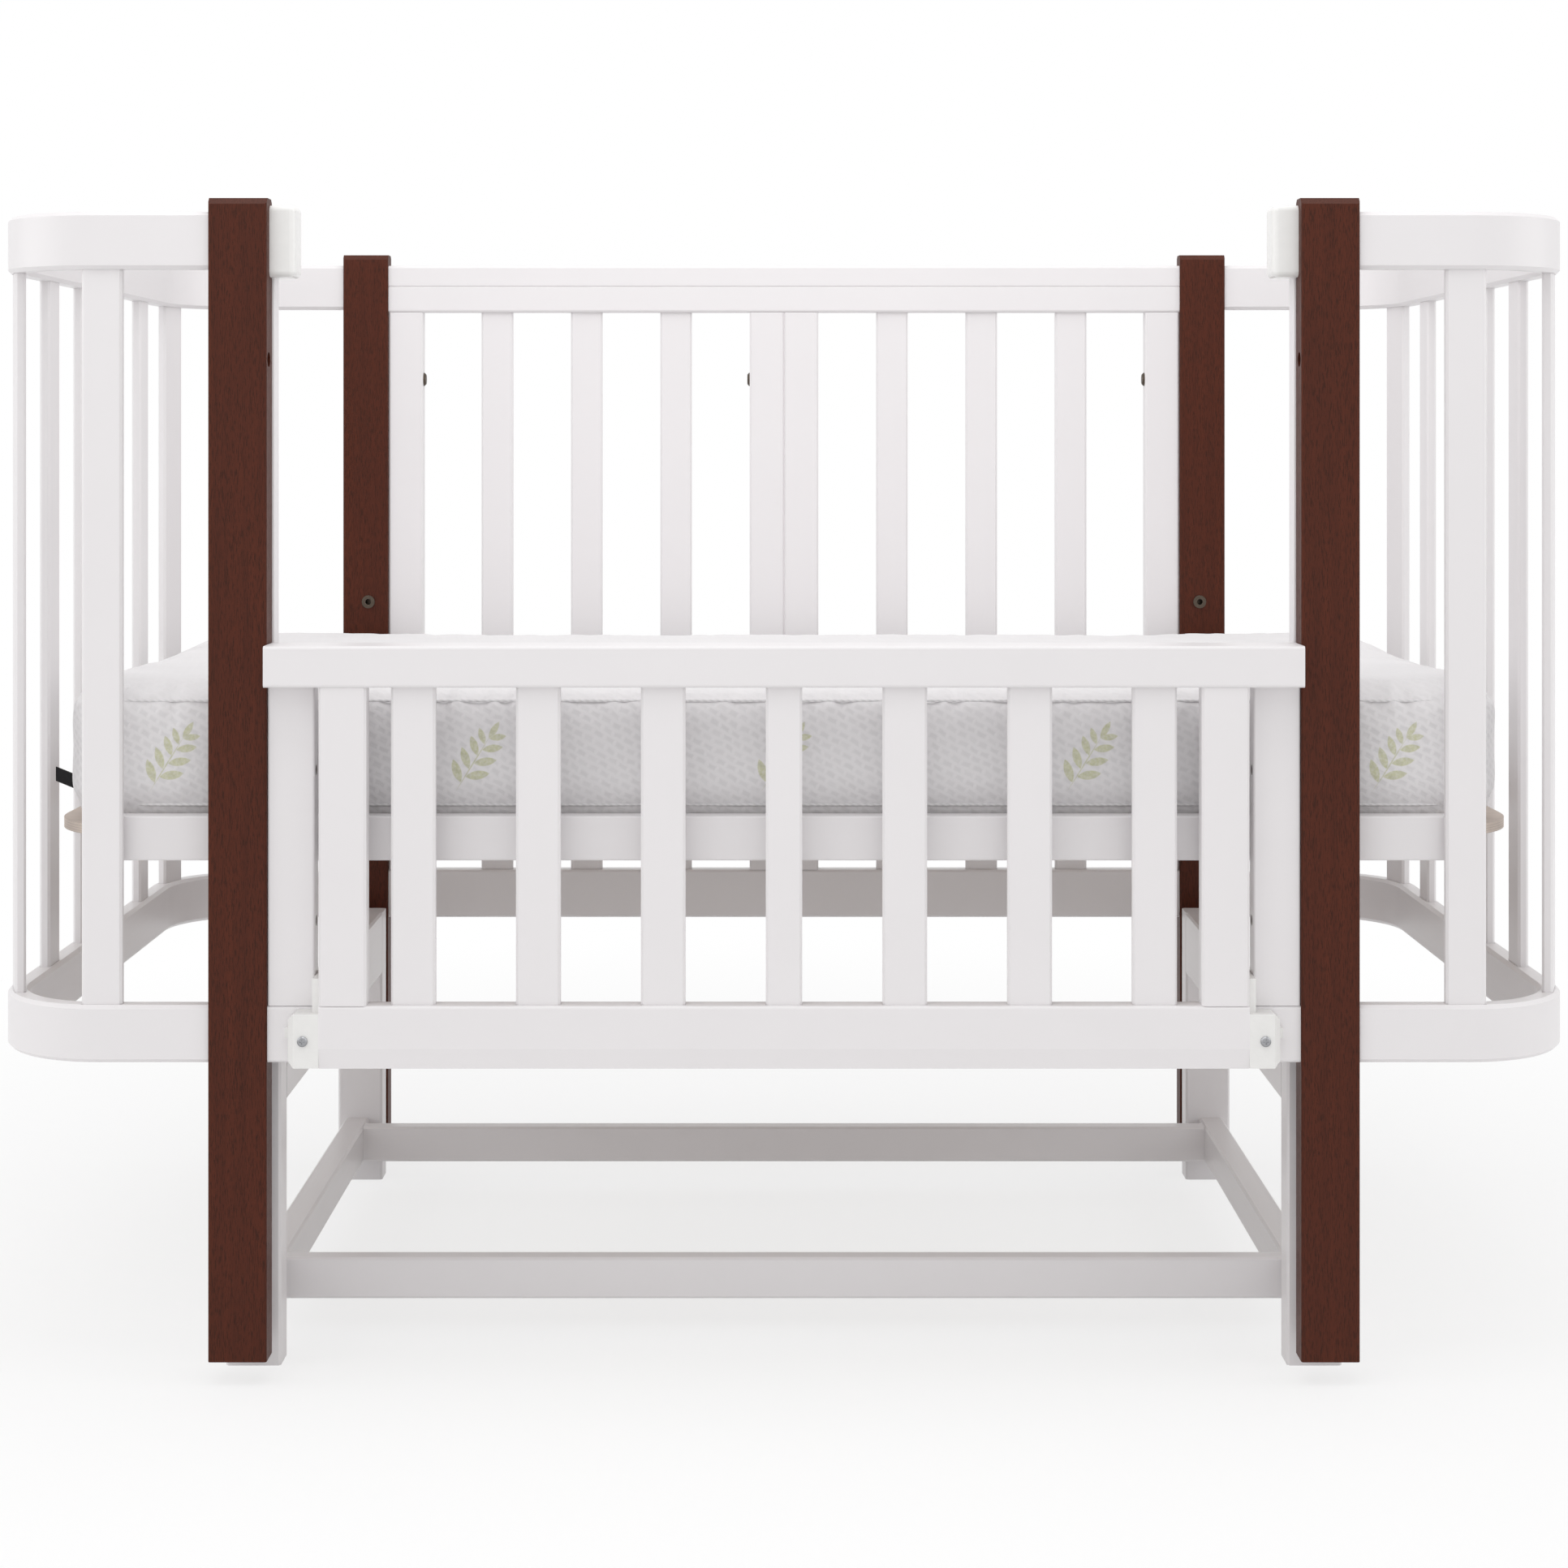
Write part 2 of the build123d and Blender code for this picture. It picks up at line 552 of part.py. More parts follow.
def bed_rail(y, inward):
    """A long rail of the bed base, with sunk bolt holes at the posts."""
    body = bar((-BED_RAIL_L / 2, BED_RAIL_L / 2), y, (BED_RAIL_Z, BED_RAIL_TOP), RAIL_EASE / 2, Axis.X)
    inner_y = y[1] if inward > 0 else y[0]
    for side in SIDES.values():
        body -= sunk_hole((side * LEG_X, inner_y, BED_BOLT_Z), (0, -inward, 0), RAIL_T)
    return body


def bed_battens():
    """Flat battens under the deck, from the front bed rail to the rear one."""
    y = (BED_FRONT_Y[1], BED_REAR_Y[0])
    middles = [(i - (BATTENS - 1) / 2) * BATTEN_PITCH for i in range(BATTENS)]
    half = BATTEN_W / 2
    return [block((x - half, x + half), y, (BED_RAIL_Z, DECK_Z)) for x in middles]


def bed_deck():
    """The plywood deck, with rounded corners that follow the ends of the cot."""
    plan = RectangleRounded(DECK_L, BED_WIDTH, DECK_RADIUS)
    return Pos(0, MID_Y, DECK_Z) * extrude(plan, DECK_T)


def mattress():
    """The mattress: a tucked-in foot, drawn-in sides, a rolled upper edge and a crowned top."""
    foot, tuck, waist = MATTRESS_FOOT, MATTRESS_TUCK, MATTRESS_WAIST
    edge, roll = MATTRESS_EDGE_H, MATTRESS_ROLL
    rise = MATTRESS_H - edge
    middle = (foot + edge) / 2
    rings = [
        (0.0, tuck), (foot * 0.4, tuck * 0.55), (foot, 0.0), ((foot + middle) / 2, waist * 0.7), (middle, waist),
        ((middle + edge) / 2, waist * 0.7), (edge - roll, 0.0), (edge - roll * 0.3, roll * 0.3), (edge, roll),
        (edge + rise * 0.45, roll * 1.7), (edge + rise * 0.8, CROWN_SHOULDER), (MATTRESS_H, CROWN_FLAT),
    ]
    sections = []
    for height, inset in rings:
        width = MATTRESS_W - 2 * inset
        plan = RectangleRounded(MATTRESS_L - 2 * inset, width, MATTRESS_RADIUS * width / MATTRESS_W)
        sections.append(Pos(0, MID_Y, DECK_TOP + height) * plan)
    return loft(sections, ruled=True)


def button_bolt(start, direction, length):
    """A bolt with a domed head that stands on the surface at its start."""
    back = tuple(-part for part in direction)
    head = prism(start, back, BUTTON_HEAD_R, BUTTON_HEAD_H, HEAD_SIDES)
    tip = head.faces().sort_by(Axis(start, back))[-1]
    head = chamfer(tip.edges(), BUTTON_HEAD_H * 0.7)
    return head + shank(start, direction, BOLT_R, length)


def sunk_bolt(start, direction, length):
    """A bolt whose small round head lies below the surface at its start."""
    deep = tuple(place + SUNK_BY * part for place, part in zip(start, direction))
    head = prism(deep, direction, SUNK_HEAD_R, SUNK_HEAD_H, HEAD_SIDES)
    return head + shank(deep, direction, BOLT_R, length - SUNK_BY)


def sunk_hole(start, direction, length):
    """The stepped hole for a bolt with a sunk head."""
    pocket = prism(start, direction, SUNK_HEAD_R + BOLT_HOLE_CLEAR, SUNK_BY + SUNK_HEAD_H, HEAD_SIDES)
    return pocket + shank(start, direction, BOLT_R + BOLT_HOLE_CLEAR, length)


def rear_panel_bolts():
    """Bolts that draw the half fences to the posts and to each other."""
    y = (REAR_RAIL_Y[0] + REAR_RAIL_Y[1]) / 2
    bolts = []
    for z in REAR_BOLT_ZS:
        for side in SIDES.values():
            start = (side * (POST_IN - REAR_STILE_W), y, z)
            bolts.append(button_bolt(start, (side, 0, 0), REAR_STILE_W + BOLT_GRIP - BOLT_HOLE_CLEAR))
        bolts.append(button_bolt((-REAR_STILE_W, y, z), (1, 0, 0), 2 * REAR_STILE_W - BOLT_HOLE_CLEAR))
    return bolts


def front_panel_bolts():
    """Bolts sunk in the inner edges of the fixed front stiles."""
    y = (FRONT_RAIL_Y[0] + FRONT_RAIL_Y[1]) / 2
    length = FRONT_STILE_W + BOLT_GRIP - BOLT_HOLE_CLEAR
    return [sunk_bolt((side * FRONT_STILE_IN, y, z), (side, 0, 0), length)
            for z in FRONT_BOLT_ZS for side in SIDES.values()]


def bed_bolts():
    """Bolts sunk in the bed rails that hold the bed base to the posts."""
    length = RAIL_T + BOLT_GRIP - BOLT_HOLE_CLEAR
    fronts = [sunk_bolt((side * LEG_X, BED_FRONT_Y[1], BED_BOLT_Z), (0, -1, 0), length)
              for side in SIDES.values()]
    rears = [sunk_bolt((side * LEG_X, BED_REAR_Y[0], BED_BOLT_Z), (0, 1, 0), length)
             for side in SIDES.values()]
    return fronts + rears


def level_insert(side, end):
    """A flanged threaded insert in a post, for the upper level of the bed base."""
    start = (side * LEG_X, end_face_y(end, POST_D), LEVEL_INSERT_Z)
    outward = (0, -ENDS[end], 0)
    inward = (0, ENDS[end], 0)
    length = INSERT_L - BOLT_HOLE_CLEAR
    flange = prism(start, inward, INSERT_FLANGE_R, INSERT_FLANGE_H, HEAD_SIDES)
    mouth = (start[0], start[1] + ENDS[end] * INSERT_FLANGE_H, start[2])
    bore = prism(mouth, outward, BOLT_R, INSERT_L, HEAD_SIDES)
    return flange + shank(start, outward, INSERT_BODY_R, length) - bore


def base_side_sections(side):
    """Limits across and up of the side rail and of the side stretcher."""
    rail_x = (side * LEG_IN, side * (LEG_IN + SIDE_RAIL_T))
    stretcher_x = (side * SIDE_STRETCHER_IN, side * (SIDE_STRETCHER_IN + SIDE_STRETCHER_T))
    rail_z = (LEG_H - SIDE_RAIL_H, LEG_H)
    stretcher_z = (STRETCHER_Z, STRETCHER_Z + STRETCHER_H)
    return [(rail_x, rail_z), (stretcher_x, stretcher_z)]


def base_tenon(x, z, grow=0.0):
    """The tenons of a side member, through its length; grow makes the cutter of their mortises."""
    left, right = sorted(x)
    across = (left + BASE_TENON_SIDE - grow, right - BASE_TENON_SIDE + grow)
    up = (z[0] + BASE_TENON_END - grow, z[1] - BASE_TENON_END + grow)
    reach = BASE_TENON_L + grow
    return block(across, (FRONT_LEG_Y[1] - reach, REAR_LEG_Y[0] + reach), up)


def base_leg(side, end):
    """A leg of the base, bored for its swing pin and mortised for the side members."""
    y = FRONT_LEG_Y if end == "front" else REAR_LEG_Y
    body = planed_bar((side * LEG_IN, side * (LEG_IN + LEG_W)), y, (0, LEG_H), LEG_EASE, Axis.Z)
    face = end_face_y(end, POST_D + LEG_GAP)
    body -= shank((side * LEG_X, face, PIVOT_Z), (0, ENDS[end], 0), PIN_R + BOLT_HOLE_CLEAR, PIN_SEAT)
    for x, z in base_side_sections(side):
        body -= base_tenon(x, z, MORTISE_CLEAR)
    return body


def base_side_member(x, z):
    """A member between a front leg and a rear leg, tenoned into both."""
    body = planed_bar(x, (FRONT_LEG_Y[1], REAR_LEG_Y[0]), z, BASE_EASE, Axis.Y)
    return body + base_tenon(x, z)


def base_cross_stretcher(front):
    """A long stretcher between the two side stretchers."""
    y = (front, front + STRETCHER_T)
    z = (STRETCHER_Z, STRETCHER_Z + STRETCHER_H)
    return planed_bar((-SIDE_STRETCHER_IN, SIDE_STRETCHER_IN), y, z, BASE_EASE, Axis.X)


def swing_link(side, end):
    """A flat link with an eye at each end, hung from a leg and carrying a post."""
    y = end_face_y(end, POST_D + LINK_GAP)
    plane = Plane((side * LEG_X, y, PIVOT_Z), x_dir=(1, 0, 0), z_dir=(0, ENDS[end], 0))
    up = 1 if ENDS[end] < 0 else -1
    eyes = Circle(LINK_EYE_R) + Pos(0, -up * LINK_L) * Circle(LINK_EYE_R)
    waist = Pos(0, -up * LINK_L / 2) * Rectangle(2 * LINK_WAIST_R, LINK_L)
    bores = Circle(PIN_R + PIN_RUN_CLEAR) + Pos(0, -up * LINK_L) * Circle(PIN_R + PIN_RUN_CLEAR)
    return extrude(plane * (eyes + waist - bores), LINK_T)


def swing_pin(side, end, height, from_post):
    """A headed pin with a collar: seated in a post or a leg, it carries one eye of a link."""
    base_depth = POST_D if from_post else POST_D + LEG_GAP
    way = ENDS[end] if from_post else -ENDS[end]
    seat = (side * LEG_X, end_face_y(end, base_depth), height)
    collar = LINK_GAP - PIN_SIDE_CLEAR
    reach = LINK_GAP + LINK_T + PIN_SIDE_CLEAR
    head = (seat[0], seat[1] + way * reach, height)
    body = prism(seat, (0, way, 0), PIN_COLLAR_R, collar, COLLAR_SIDES)
    body += rod(seat, (0, way, 0), PIN_R, reach)
    body += shank(seat, (0, -way, 0), PIN_R, PIN_SEAT - BOLT_HOLE_CLEAR)
    return body + prism(head, (0, way, 0), PIN_HEAD_R, PIN_HEAD_H, COLLAR_SIDES)


def swing_pins(height, from_post):
    """One pin for each of the four links."""
    return [swing_pin(side, end, height, from_post) for side in SIDES.values() for end in ENDS]


def add_base(nodes):
    """The floor-standing frame."""
    for name, side in SIDES.items():
        for end in ENDS:
            nodes[f"base_leg_{end}_{name}"] = base_leg(side, end)
        rail, stretcher = base_side_sections(side)
        nodes[f"base_side_rail_{name}"] = base_side_member(*rail)
        nodes[f"base_side_stretcher_{name}"] = base_side_member(*stretcher)
    nodes["base_front_stretcher"] = base_cross_stretcher(FRONT_LEG_Y[1] + FRONT_STRETCHER_SET)
    nodes["base_rear_stretcher"] = base_cross_stretcher(REAR_LEG_Y[0] - REAR_STRETCHER_SET - STRETCHER_T)
    nodes["swing_pins_upper"] = swing_pins(PIVOT_Z, False)


def add_links(nodes):
    """The links that let the cot swing lengthwise."""
    for name, side in SIDES.items():
        for end in ENDS:
            nodes[f"swing_link_{end}_{name}"] = swing_link(side, end)


def add_cot(nodes):
    """The hanging cot: posts, rounded ends, rear fence and fixed front members."""
    for name, side in SIDES.items():
        for end in ENDS:
            nodes[f"post_{end}_{name}"] = post(side, end)
        places = end_slat_places(side)
        top_pockets = mortises(places, END_SLAT_W, TOP_RAIL_Z, 1)
        bottom_pockets = mortises(places, END_SLAT_W, BOTTOM_RAIL_TOP, -1)
        nodes[f"top_end_rail_{name}"] = end_rail(side, TOP_RAIL_Z) - top_pockets
        nodes[f"bottom_end_rail_{name}"] = end_rail(side, BOTTOM_RAIL_Z) - bottom_pockets
        nodes[f"end_slats_{name}"] = slat_row(places, END_SLAT_W, BOTTOM_RAIL_TOP, TOP_RAIL_Z)
        nodes[f"rear_outer_stile_{name}"] = rear_stile(side, True)
        nodes[f"rear_inner_stile_{name}"] = rear_stile(side, False)
        nodes[f"rear_slats_{name}"] = slat_row(
            rear_slat_places(side), REAR_SLAT_W, REAR_BOTTOM_RAIL_TOP, REAR_TOP_RAIL_Z)
        nodes[f"front_stile_{name}"] = front_stile(side)
        nodes[f"rail_end_block_{name}"] = rail_end_block(side)
        nodes[f"post_liner_{name}"] = post_liner(side)
    rear_places = rear_slat_places(-1) + rear_slat_places(1)
    nodes["rear_top_rail"] = rear_top_rail() - mortises(rear_places, REAR_SLAT_W, REAR_TOP_RAIL_Z, 1)
    rear_pockets = mortises(rear_places, REAR_SLAT_W, REAR_BOTTOM_RAIL_TOP, -1)
    nodes["rear_bottom_rail"] = rear_rail(BOTTOM_RAIL_Z, REAR_BOTTOM_RAIL_H) - rear_pockets
    front_z = (BOTTOM_RAIL_Z, BOTTOM_RAIL_TOP)
    nodes["front_bottom_rail"] = bar((-POST_IN, POST_IN), FRONT_RAIL_Y, front_z, RAIL_EASE, Axis.X)
    nodes["panel_bolts"] = rear_panel_bolts() + front_panel_bolts()
    nodes["swing_pins_lower"] = swing_pins(LINK_FOOT_Z, True)


def add_bed(nodes):
    """The bed base that is bolted between the posts, and the mattress on it."""
    nodes["bed_rail_front"] = bed_rail(BED_FRONT_Y, 1)
    nodes["bed_rail_rear"] = bed_rail(BED_REAR_Y, -1)
    nodes["bed_battens"] = bed_battens()
    nodes["bed_deck"] = bed_deck()
    nodes["bed_bolts"] = bed_bolts()
    nodes["bed_level_inserts"] = [level_insert(side, end) for side in SIDES.values() for end in ENDS]
    nodes["mattress"] = mattress()


def add_gate(nodes):
    """The front gate, which slides up on the fixed front stiles."""
    nodes["gate_cap"] = gate_cap()
    nodes["gate_bottom_rail"] = gate_bottom_rail()
    nodes["gate_slats"] = gate_slats()
    for name, side in SIDES.items():
        nodes[f"gate_stile_{name}"] = gate_stile(side)
        nodes[f"gate_slider_{name}"] = gate_slider(side)
        nodes[f"latch_pin_{name}"] = latch_pin(side)
    nodes["slider_screws"] = [slider_screw(side) for side in SIDES.values()]


def main():
    """Build every node and write one STEP file for each."""
    os.makedirs("parts", exist_ok=True)
    nodes = {}
    add_base(nodes)
    add_links(nodes)
    add_cot(nodes)
    add_bed(nodes)
    add_gate(nodes)
    for name, shape in nodes.items():
        solids = Compound(children=shape) if isinstance(shape, list) else shape
        export_step(solids, f"parts/{name}.step")


main()
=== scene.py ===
import json
import math

import bmesh
import bpy
import numpy as np
from bpy.props import FloatProperty, FloatVectorProperty, PointerProperty
from mathutils import Euler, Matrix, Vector


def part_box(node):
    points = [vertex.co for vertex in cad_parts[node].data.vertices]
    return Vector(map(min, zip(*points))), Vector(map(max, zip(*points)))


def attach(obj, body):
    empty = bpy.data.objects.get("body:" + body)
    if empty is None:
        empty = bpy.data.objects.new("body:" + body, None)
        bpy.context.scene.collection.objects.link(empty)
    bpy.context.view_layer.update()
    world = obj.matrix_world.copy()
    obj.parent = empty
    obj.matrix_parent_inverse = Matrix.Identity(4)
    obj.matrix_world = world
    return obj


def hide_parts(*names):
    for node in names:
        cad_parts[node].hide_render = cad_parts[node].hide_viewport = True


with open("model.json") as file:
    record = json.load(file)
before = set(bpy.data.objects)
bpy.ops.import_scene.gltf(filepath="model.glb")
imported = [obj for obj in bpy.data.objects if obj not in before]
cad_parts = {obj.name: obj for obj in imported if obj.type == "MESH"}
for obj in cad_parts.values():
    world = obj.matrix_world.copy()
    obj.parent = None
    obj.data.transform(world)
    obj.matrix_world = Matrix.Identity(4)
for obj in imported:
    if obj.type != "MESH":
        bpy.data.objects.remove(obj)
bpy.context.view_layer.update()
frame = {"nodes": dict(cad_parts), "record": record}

bl_info = {
    "name": "Swinging Cot",
    "version": (1, 0, 0),
    "blender": (4, 5, 0),
    "location": "View3D > Sidebar > Cot",
    "description": "Finishes, mattress and studio stage for the swinging cot",
    "category": "Object",
}

BED_LOW, BED_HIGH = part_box("mattress")
BED_SIZE = BED_HIGH - BED_LOW
BED_MIDDLE = (BED_LOW + BED_HIGH) / 2
MM = 0.001
CLOTH_FRAMES = 20


def linear(hex_colour):
    """An sRGB hex value such as E3E2E4 as a linear red, green and blue."""
    parts = [int(hex_colour[i:i + 2], 16) / 255 for i in (0, 2, 4)]
    return tuple(p / 12.92 if p <= 0.04045 else ((p + 0.055) / 1.055) ** 2.4 for p in parts)


class FinishSettings(bpy.types.PropertyGroup):
    """Colours of the cot's finishes."""

    lacquer: FloatVectorProperty(
        name="Lacquer", description="White satin lacquer on rails, slats, gate and base",
        subtype="COLOR", size=3, min=0.0, max=1.0, default=linear("E5E2E3"))
    stain: FloatVectorProperty(
        name="Stain", description="Dark stain of the posts, between the pores",
        subtype="COLOR", size=3, min=0.0, max=1.0, default=linear("4D200F"))
    stain_pores: FloatVectorProperty(
        name="Stain in pores", description="Dark stain where it gathers in the grain",
        subtype="COLOR", size=3, min=0.0, max=1.0, default=linear("38180B"))
    plywood: FloatVectorProperty(
        name="Plywood", description="Sanded birch plywood of the bed deck",
        subtype="COLOR", size=3, min=0.0, max=1.0, default=linear("CDBFB4"))
    knit: FloatVectorProperty(
        name="Knitted cover", description="White knitted cover of the mattress",
        subtype="COLOR", size=3, min=0.0, max=1.0, default=linear("E6E4E5"))
    leaf: FloatVectorProperty(
        name="Leaf print", description="Pale green of the leaf sprigs on the mattress",
        subtype="COLOR", size=3, min=0.0, max=1.0, default=linear("C3C49A"))


class MattressSettings(bpy.types.PropertyGroup):
    """Sizes of the mattress's soft forms."""

    corner: FloatProperty(
        name="Corner radius", description="Radius of the corners in plan",
        default=80 * MM, min=10 * MM, max=200 * MM, unit="LENGTH")
    band: FloatProperty(
        name="Upper seam", description="Height of the upper seam above the deck",
        default=103 * MM, min=50 * MM, max=116 * MM, unit="LENGTH")
    foot: FloatProperty(
        name="Lower seam",
        description="Height of the lower seam, below which the sides are tucked in",
        default=18 * MM, min=5 * MM, max=40 * MM, unit="LENGTH")
    piping: FloatProperty(
        name="Piping", description="Radius of the piping along the seams",
        default=1.2 * MM, min=0.5 * MM, max=4 * MM, unit="LENGTH")
    voxel: FloatProperty(
        name="Voxel", description="Mesh size of the cover while it is puffed up",
        default=6 * MM, min=4 * MM, max=12 * MM, unit="LENGTH")
    puff: FloatProperty(
        name="Puff", description="Most that a point of the cover may move when it is puffed up",
        default=4 * MM, min=0.0, max=20 * MM, unit="LENGTH")


class StageSettings(bpy.types.PropertyGroup):
    """The camera's place, as in the photograph, and the light level."""

    distance: FloatProperty(
        name="Camera distance", description="From the front of the posts to the camera",
        default=2.15, min=1.0, max=6.0, unit="LENGTH")
    height: FloatProperty(
        name="Camera height", description="Height of the level camera above the floor",
        default=0.757, min=0.1, max=2.0, unit="LENGTH")
    lens: FloatProperty(
        name="Lens", description="Focal length on a 36 mm sensor",
        default=61.64, min=20.0, max=200.0)
    drop: FloatProperty(
        name="Lens shift", description="Downward shift that frames the cot under a level camera",
        default=0.218, min=0.0, max=0.5)
    key: FloatProperty(
        name="Key light", description="Power of the large lamp over the front",
        default=16.0, min=0.0, max=500.0)
    top: FloatProperty(
        name="Top light", description="Power of the lamp over the inside of the cot",
        default=10.5, min=0.0, max=500.0)
    fill: FloatProperty(
        name="Fill light", description="Power of each side lamp", default=16.0, min=0.0, max=500.0)
    front: FloatProperty(
        name="Front light", description="Power of the far lamp that reaches under the bed",
        default=28.0, min=0.0, max=500.0)


def start_clean():
    """Object mode with nothing selected."""
    if bpy.context.object and bpy.context.object.mode != "OBJECT":
        bpy.ops.object.mode_set(mode="OBJECT")
    bpy.ops.object.select_all(action="DESELECT")


def make_active(obj):
    """Only this object is selected, and it is active."""
    start_clean()
    obj.select_set(True)
    bpy.context.view_layer.objects.active = obj


def apply_all(obj):
    """Applies the object's modifiers, place, turn and scale."""
    make_active(obj)
    for name in [m.name for m in obj.modifiers]:
        bpy.ops.object.modifier_apply(modifier=name)
    bpy.ops.object.transform_apply(location=True, rotation=True, scale=True)


def select_parts(obj, kind, test):
    """In edit mode, selects vertices by a test of their place, or edges by their middle and direction."""
    bpy.ops.mesh.select_mode(type=kind)
    bpy.ops.mesh.select_all(action="DESELECT")
    mesh = bmesh.from_edit_mesh(obj.data)
    if kind == "VERT":
        for vertex in mesh.verts:
            vertex.select_set(test(vertex.co))
    else:
        for edge in mesh.edges:
            start, end = [vertex.co for vertex in edge.verts]
            edge.select_set(test((start + end) / 2, (end - start).normalized()))
    mesh.select_flush_mode()
    bmesh.update_edit_mesh(obj.data)


def add(tree, kind, inputs=None, **settings):
    """Adds a node. A setting is a property; an input is a value, or a pair of a node and its output."""
    node = tree.nodes.new(kind)
    for name, value in settings.items():
        setattr(node, name, value)
    for name, value in (inputs or {}).items():
        if isinstance(value, tuple) and isinstance(value[0], bpy.types.Node):
            tree.links.new(value[0].outputs[value[1]], node.inputs[name])
        else:
            node.inputs[name].default_value = value
    return node


def new_material(name):
    """A material with an empty node tree."""
    material = bpy.data.materials.new(name)
    material.use_nodes = True
    material.node_tree.nodes.clear()
    return material, material.node_tree


def toned(colour, share):
    """The colour made lighter or darker, as a socket takes it."""
    return (*[min(1.0, c * share) for c in colour], 1.0)


def grain_scale(along, across_mm, along_mm):
    """Scales of X, Y and Z for a grain of that width and length, in millimetres, along one axis."""
    return tuple(1 / ((along_mm if axis == along else across_mm) * MM) for axis in "XYZ")


def record_slot(node):
    """The record's material slot of a CAD node."""
    return next(row["material_slot"] for row in frame["record"]["subparts"] if row["node"] == node)


def dress(obj, material):
    """One material on the whole object."""
    obj.data.materials.clear()
    obj.data.materials.append(material)


def dress_slot(slot, material):
    """One material on every CAD node of a material slot."""
    for node, obj in frame["nodes"].items():
        if record_slot(node) == slot:
            dress(obj, material)


def satin_lacquer(name, along, colour):
    """White polyurethane lacquer sprayed on beech: even and satin, with the grain just telling through it."""
    material, tree = new_material(name)
    place = add(tree, "ShaderNodeTexCoord")
    stretch = add(tree, "ShaderNodeMapping", {
        "Vector": (place, "Object"), "Scale": grain_scale(along, 2.2, 70)})
    grain = add(tree, "ShaderNodeTexNoise", {
        "Vector": (stretch, "Vector"), "Scale": 1.0, "Detail": 4.0, "Roughness": 0.6})
    cloud = add(tree, "ShaderNodeTexNoise", {
        "Vector": (place, "Object"), "Scale": 1 / (90 * MM), "Detail": 2.0})
    tint = add(tree, "ShaderNodeMix", {
        0: (cloud, "Fac"), 6: toned(colour, 0.985), 7: toned(colour, 1.012)}, data_type="RGBA")
    orange_peel = add(tree, "ShaderNodeTexNoise", {
        "Vector": (place, "Object"), "Scale": 1 / (1.6 * MM), "Detail": 1.0})
    height = add(tree, "ShaderNodeMath", {0: (grain, "Fac"), 1: (orange_peel, "Fac")}, operation="ADD")
    bump = add(tree, "ShaderNodeBump", {"Height": (height, "Value"), "Strength": 0.05, "Distance": 0.4 * MM})
    rough = add(tree, "ShaderNodeMapRange", {
        "Value": (grain, "Fac"), "From Min": 0.3, "From Max": 0.7, "To Min": 0.33, "To Max": 0.41})
    shader = add(tree, "ShaderNodeBsdfPrincipled", {
        "Base Color": (tint, 2), "Roughness": (rough, "Result"), "Normal": (bump, "Normal"), "IOR": 1.5})
    add(tree, "ShaderNodeOutputMaterial", {"Surface": (shader, "BSDF")})
    return material


class COT_OT_lacquered_wood(bpy.types.Operator):
    """Gives every white rail, slat, stile and leg its lacquer, with the grain along the piece"""

    bl_idname = "cot.lacquered_wood"
    bl_label = "Lacquered Wood"

    def execute(self, context):
        colour = tuple(context.scene.cot_finish.lacquer)
        kinds = {axis: satin_lacquer(f"satin_lacquer_on_beech_{axis.lower()}", axis, colour)
                 for axis in "XYZ"}
        for node, obj in frame["nodes"].items():
            if record_slot(node) == "white_lacquered_wood":
                low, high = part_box(node)
                sizes = [high[i] - low[i] for i in range(3)]
                upright = "slats" in node or "stile" in node or "leg" in node
                along = "Z" if upright else "XYZ"[sizes.index(max(sizes))]
                dress(obj, kinds[along])
        return {"FINISHED"}


def stained_beech(colour, pores):
    """Stained, matt varnished beech: dark brown, with short darker pores and faint streaks up the post."""
    material, tree = new_material("stained_beech_matt_varnish")
    place = add(tree, "ShaderNodeTexCoord")
    fine = add(tree, "ShaderNodeMapping", {"Vector": (place, "Object"), "Scale": grain_scale("Z", 0.55, 6)})
    pore = add(tree, "ShaderNodeTexNoise", {
        "Vector": (fine, "Vector"), "Scale": 1.0, "Detail": 3.0, "Roughness": 0.55})
    broad = add(tree, "ShaderNodeMapping", {"Vector": (place, "Object"), "Scale": grain_scale("Z", 7, 190)})
    streak = add(tree, "ShaderNodeTexNoise", {
        "Vector": (broad, "Vector"), "Scale": 1.0, "Detail": 5.0, "Roughness": 0.55, "Distortion": 0.4})
    pore_mask = add(tree, "ShaderNodeMapRange", {
        "Value": (pore, "Fac"), "From Min": 0.36, "From Max": 0.52}, interpolation_type="SMOOTHSTEP")
    streak_mask = add(tree, "ShaderNodeMapRange", {
        "Value": (streak, "Fac"), "From Min": 0.3, "From Max": 0.7, "To Min": 0.2, "To Max": 1.0})
    ground = add(tree, "ShaderNodeMix", {
        0: (streak_mask, "Result"), 6: toned(colour, 0.78), 7: toned(colour, 1.1)}, data_type="RGBA")
    shade = add(tree, "ShaderNodeMix", {
        0: (pore_mask, "Result"), 6: toned(pores, 1.0), 7: (ground, 2)}, data_type="RGBA")
    bump = add(tree, "ShaderNodeBump", {
        "Height": (pore_mask, "Result"), "Strength": 0.12, "Distance": 0.3 * MM})
    rough = add(tree, "ShaderNodeMapRange", {"Value": (pore_mask, "Result"), "To Min": 0.6, "To Max": 0.48})
    shader = add(tree, "ShaderNodeBsdfPrincipled", {
        "Base Color": (shade, 2), "Roughness": (rough, "Result"), "Normal": (bump, "Normal"), "IOR": 1.5,
        "Specular IOR Level": 0.2})
    add(tree, "ShaderNodeOutputMaterial", {"Surface": (shader, "BSDF")})
    return material


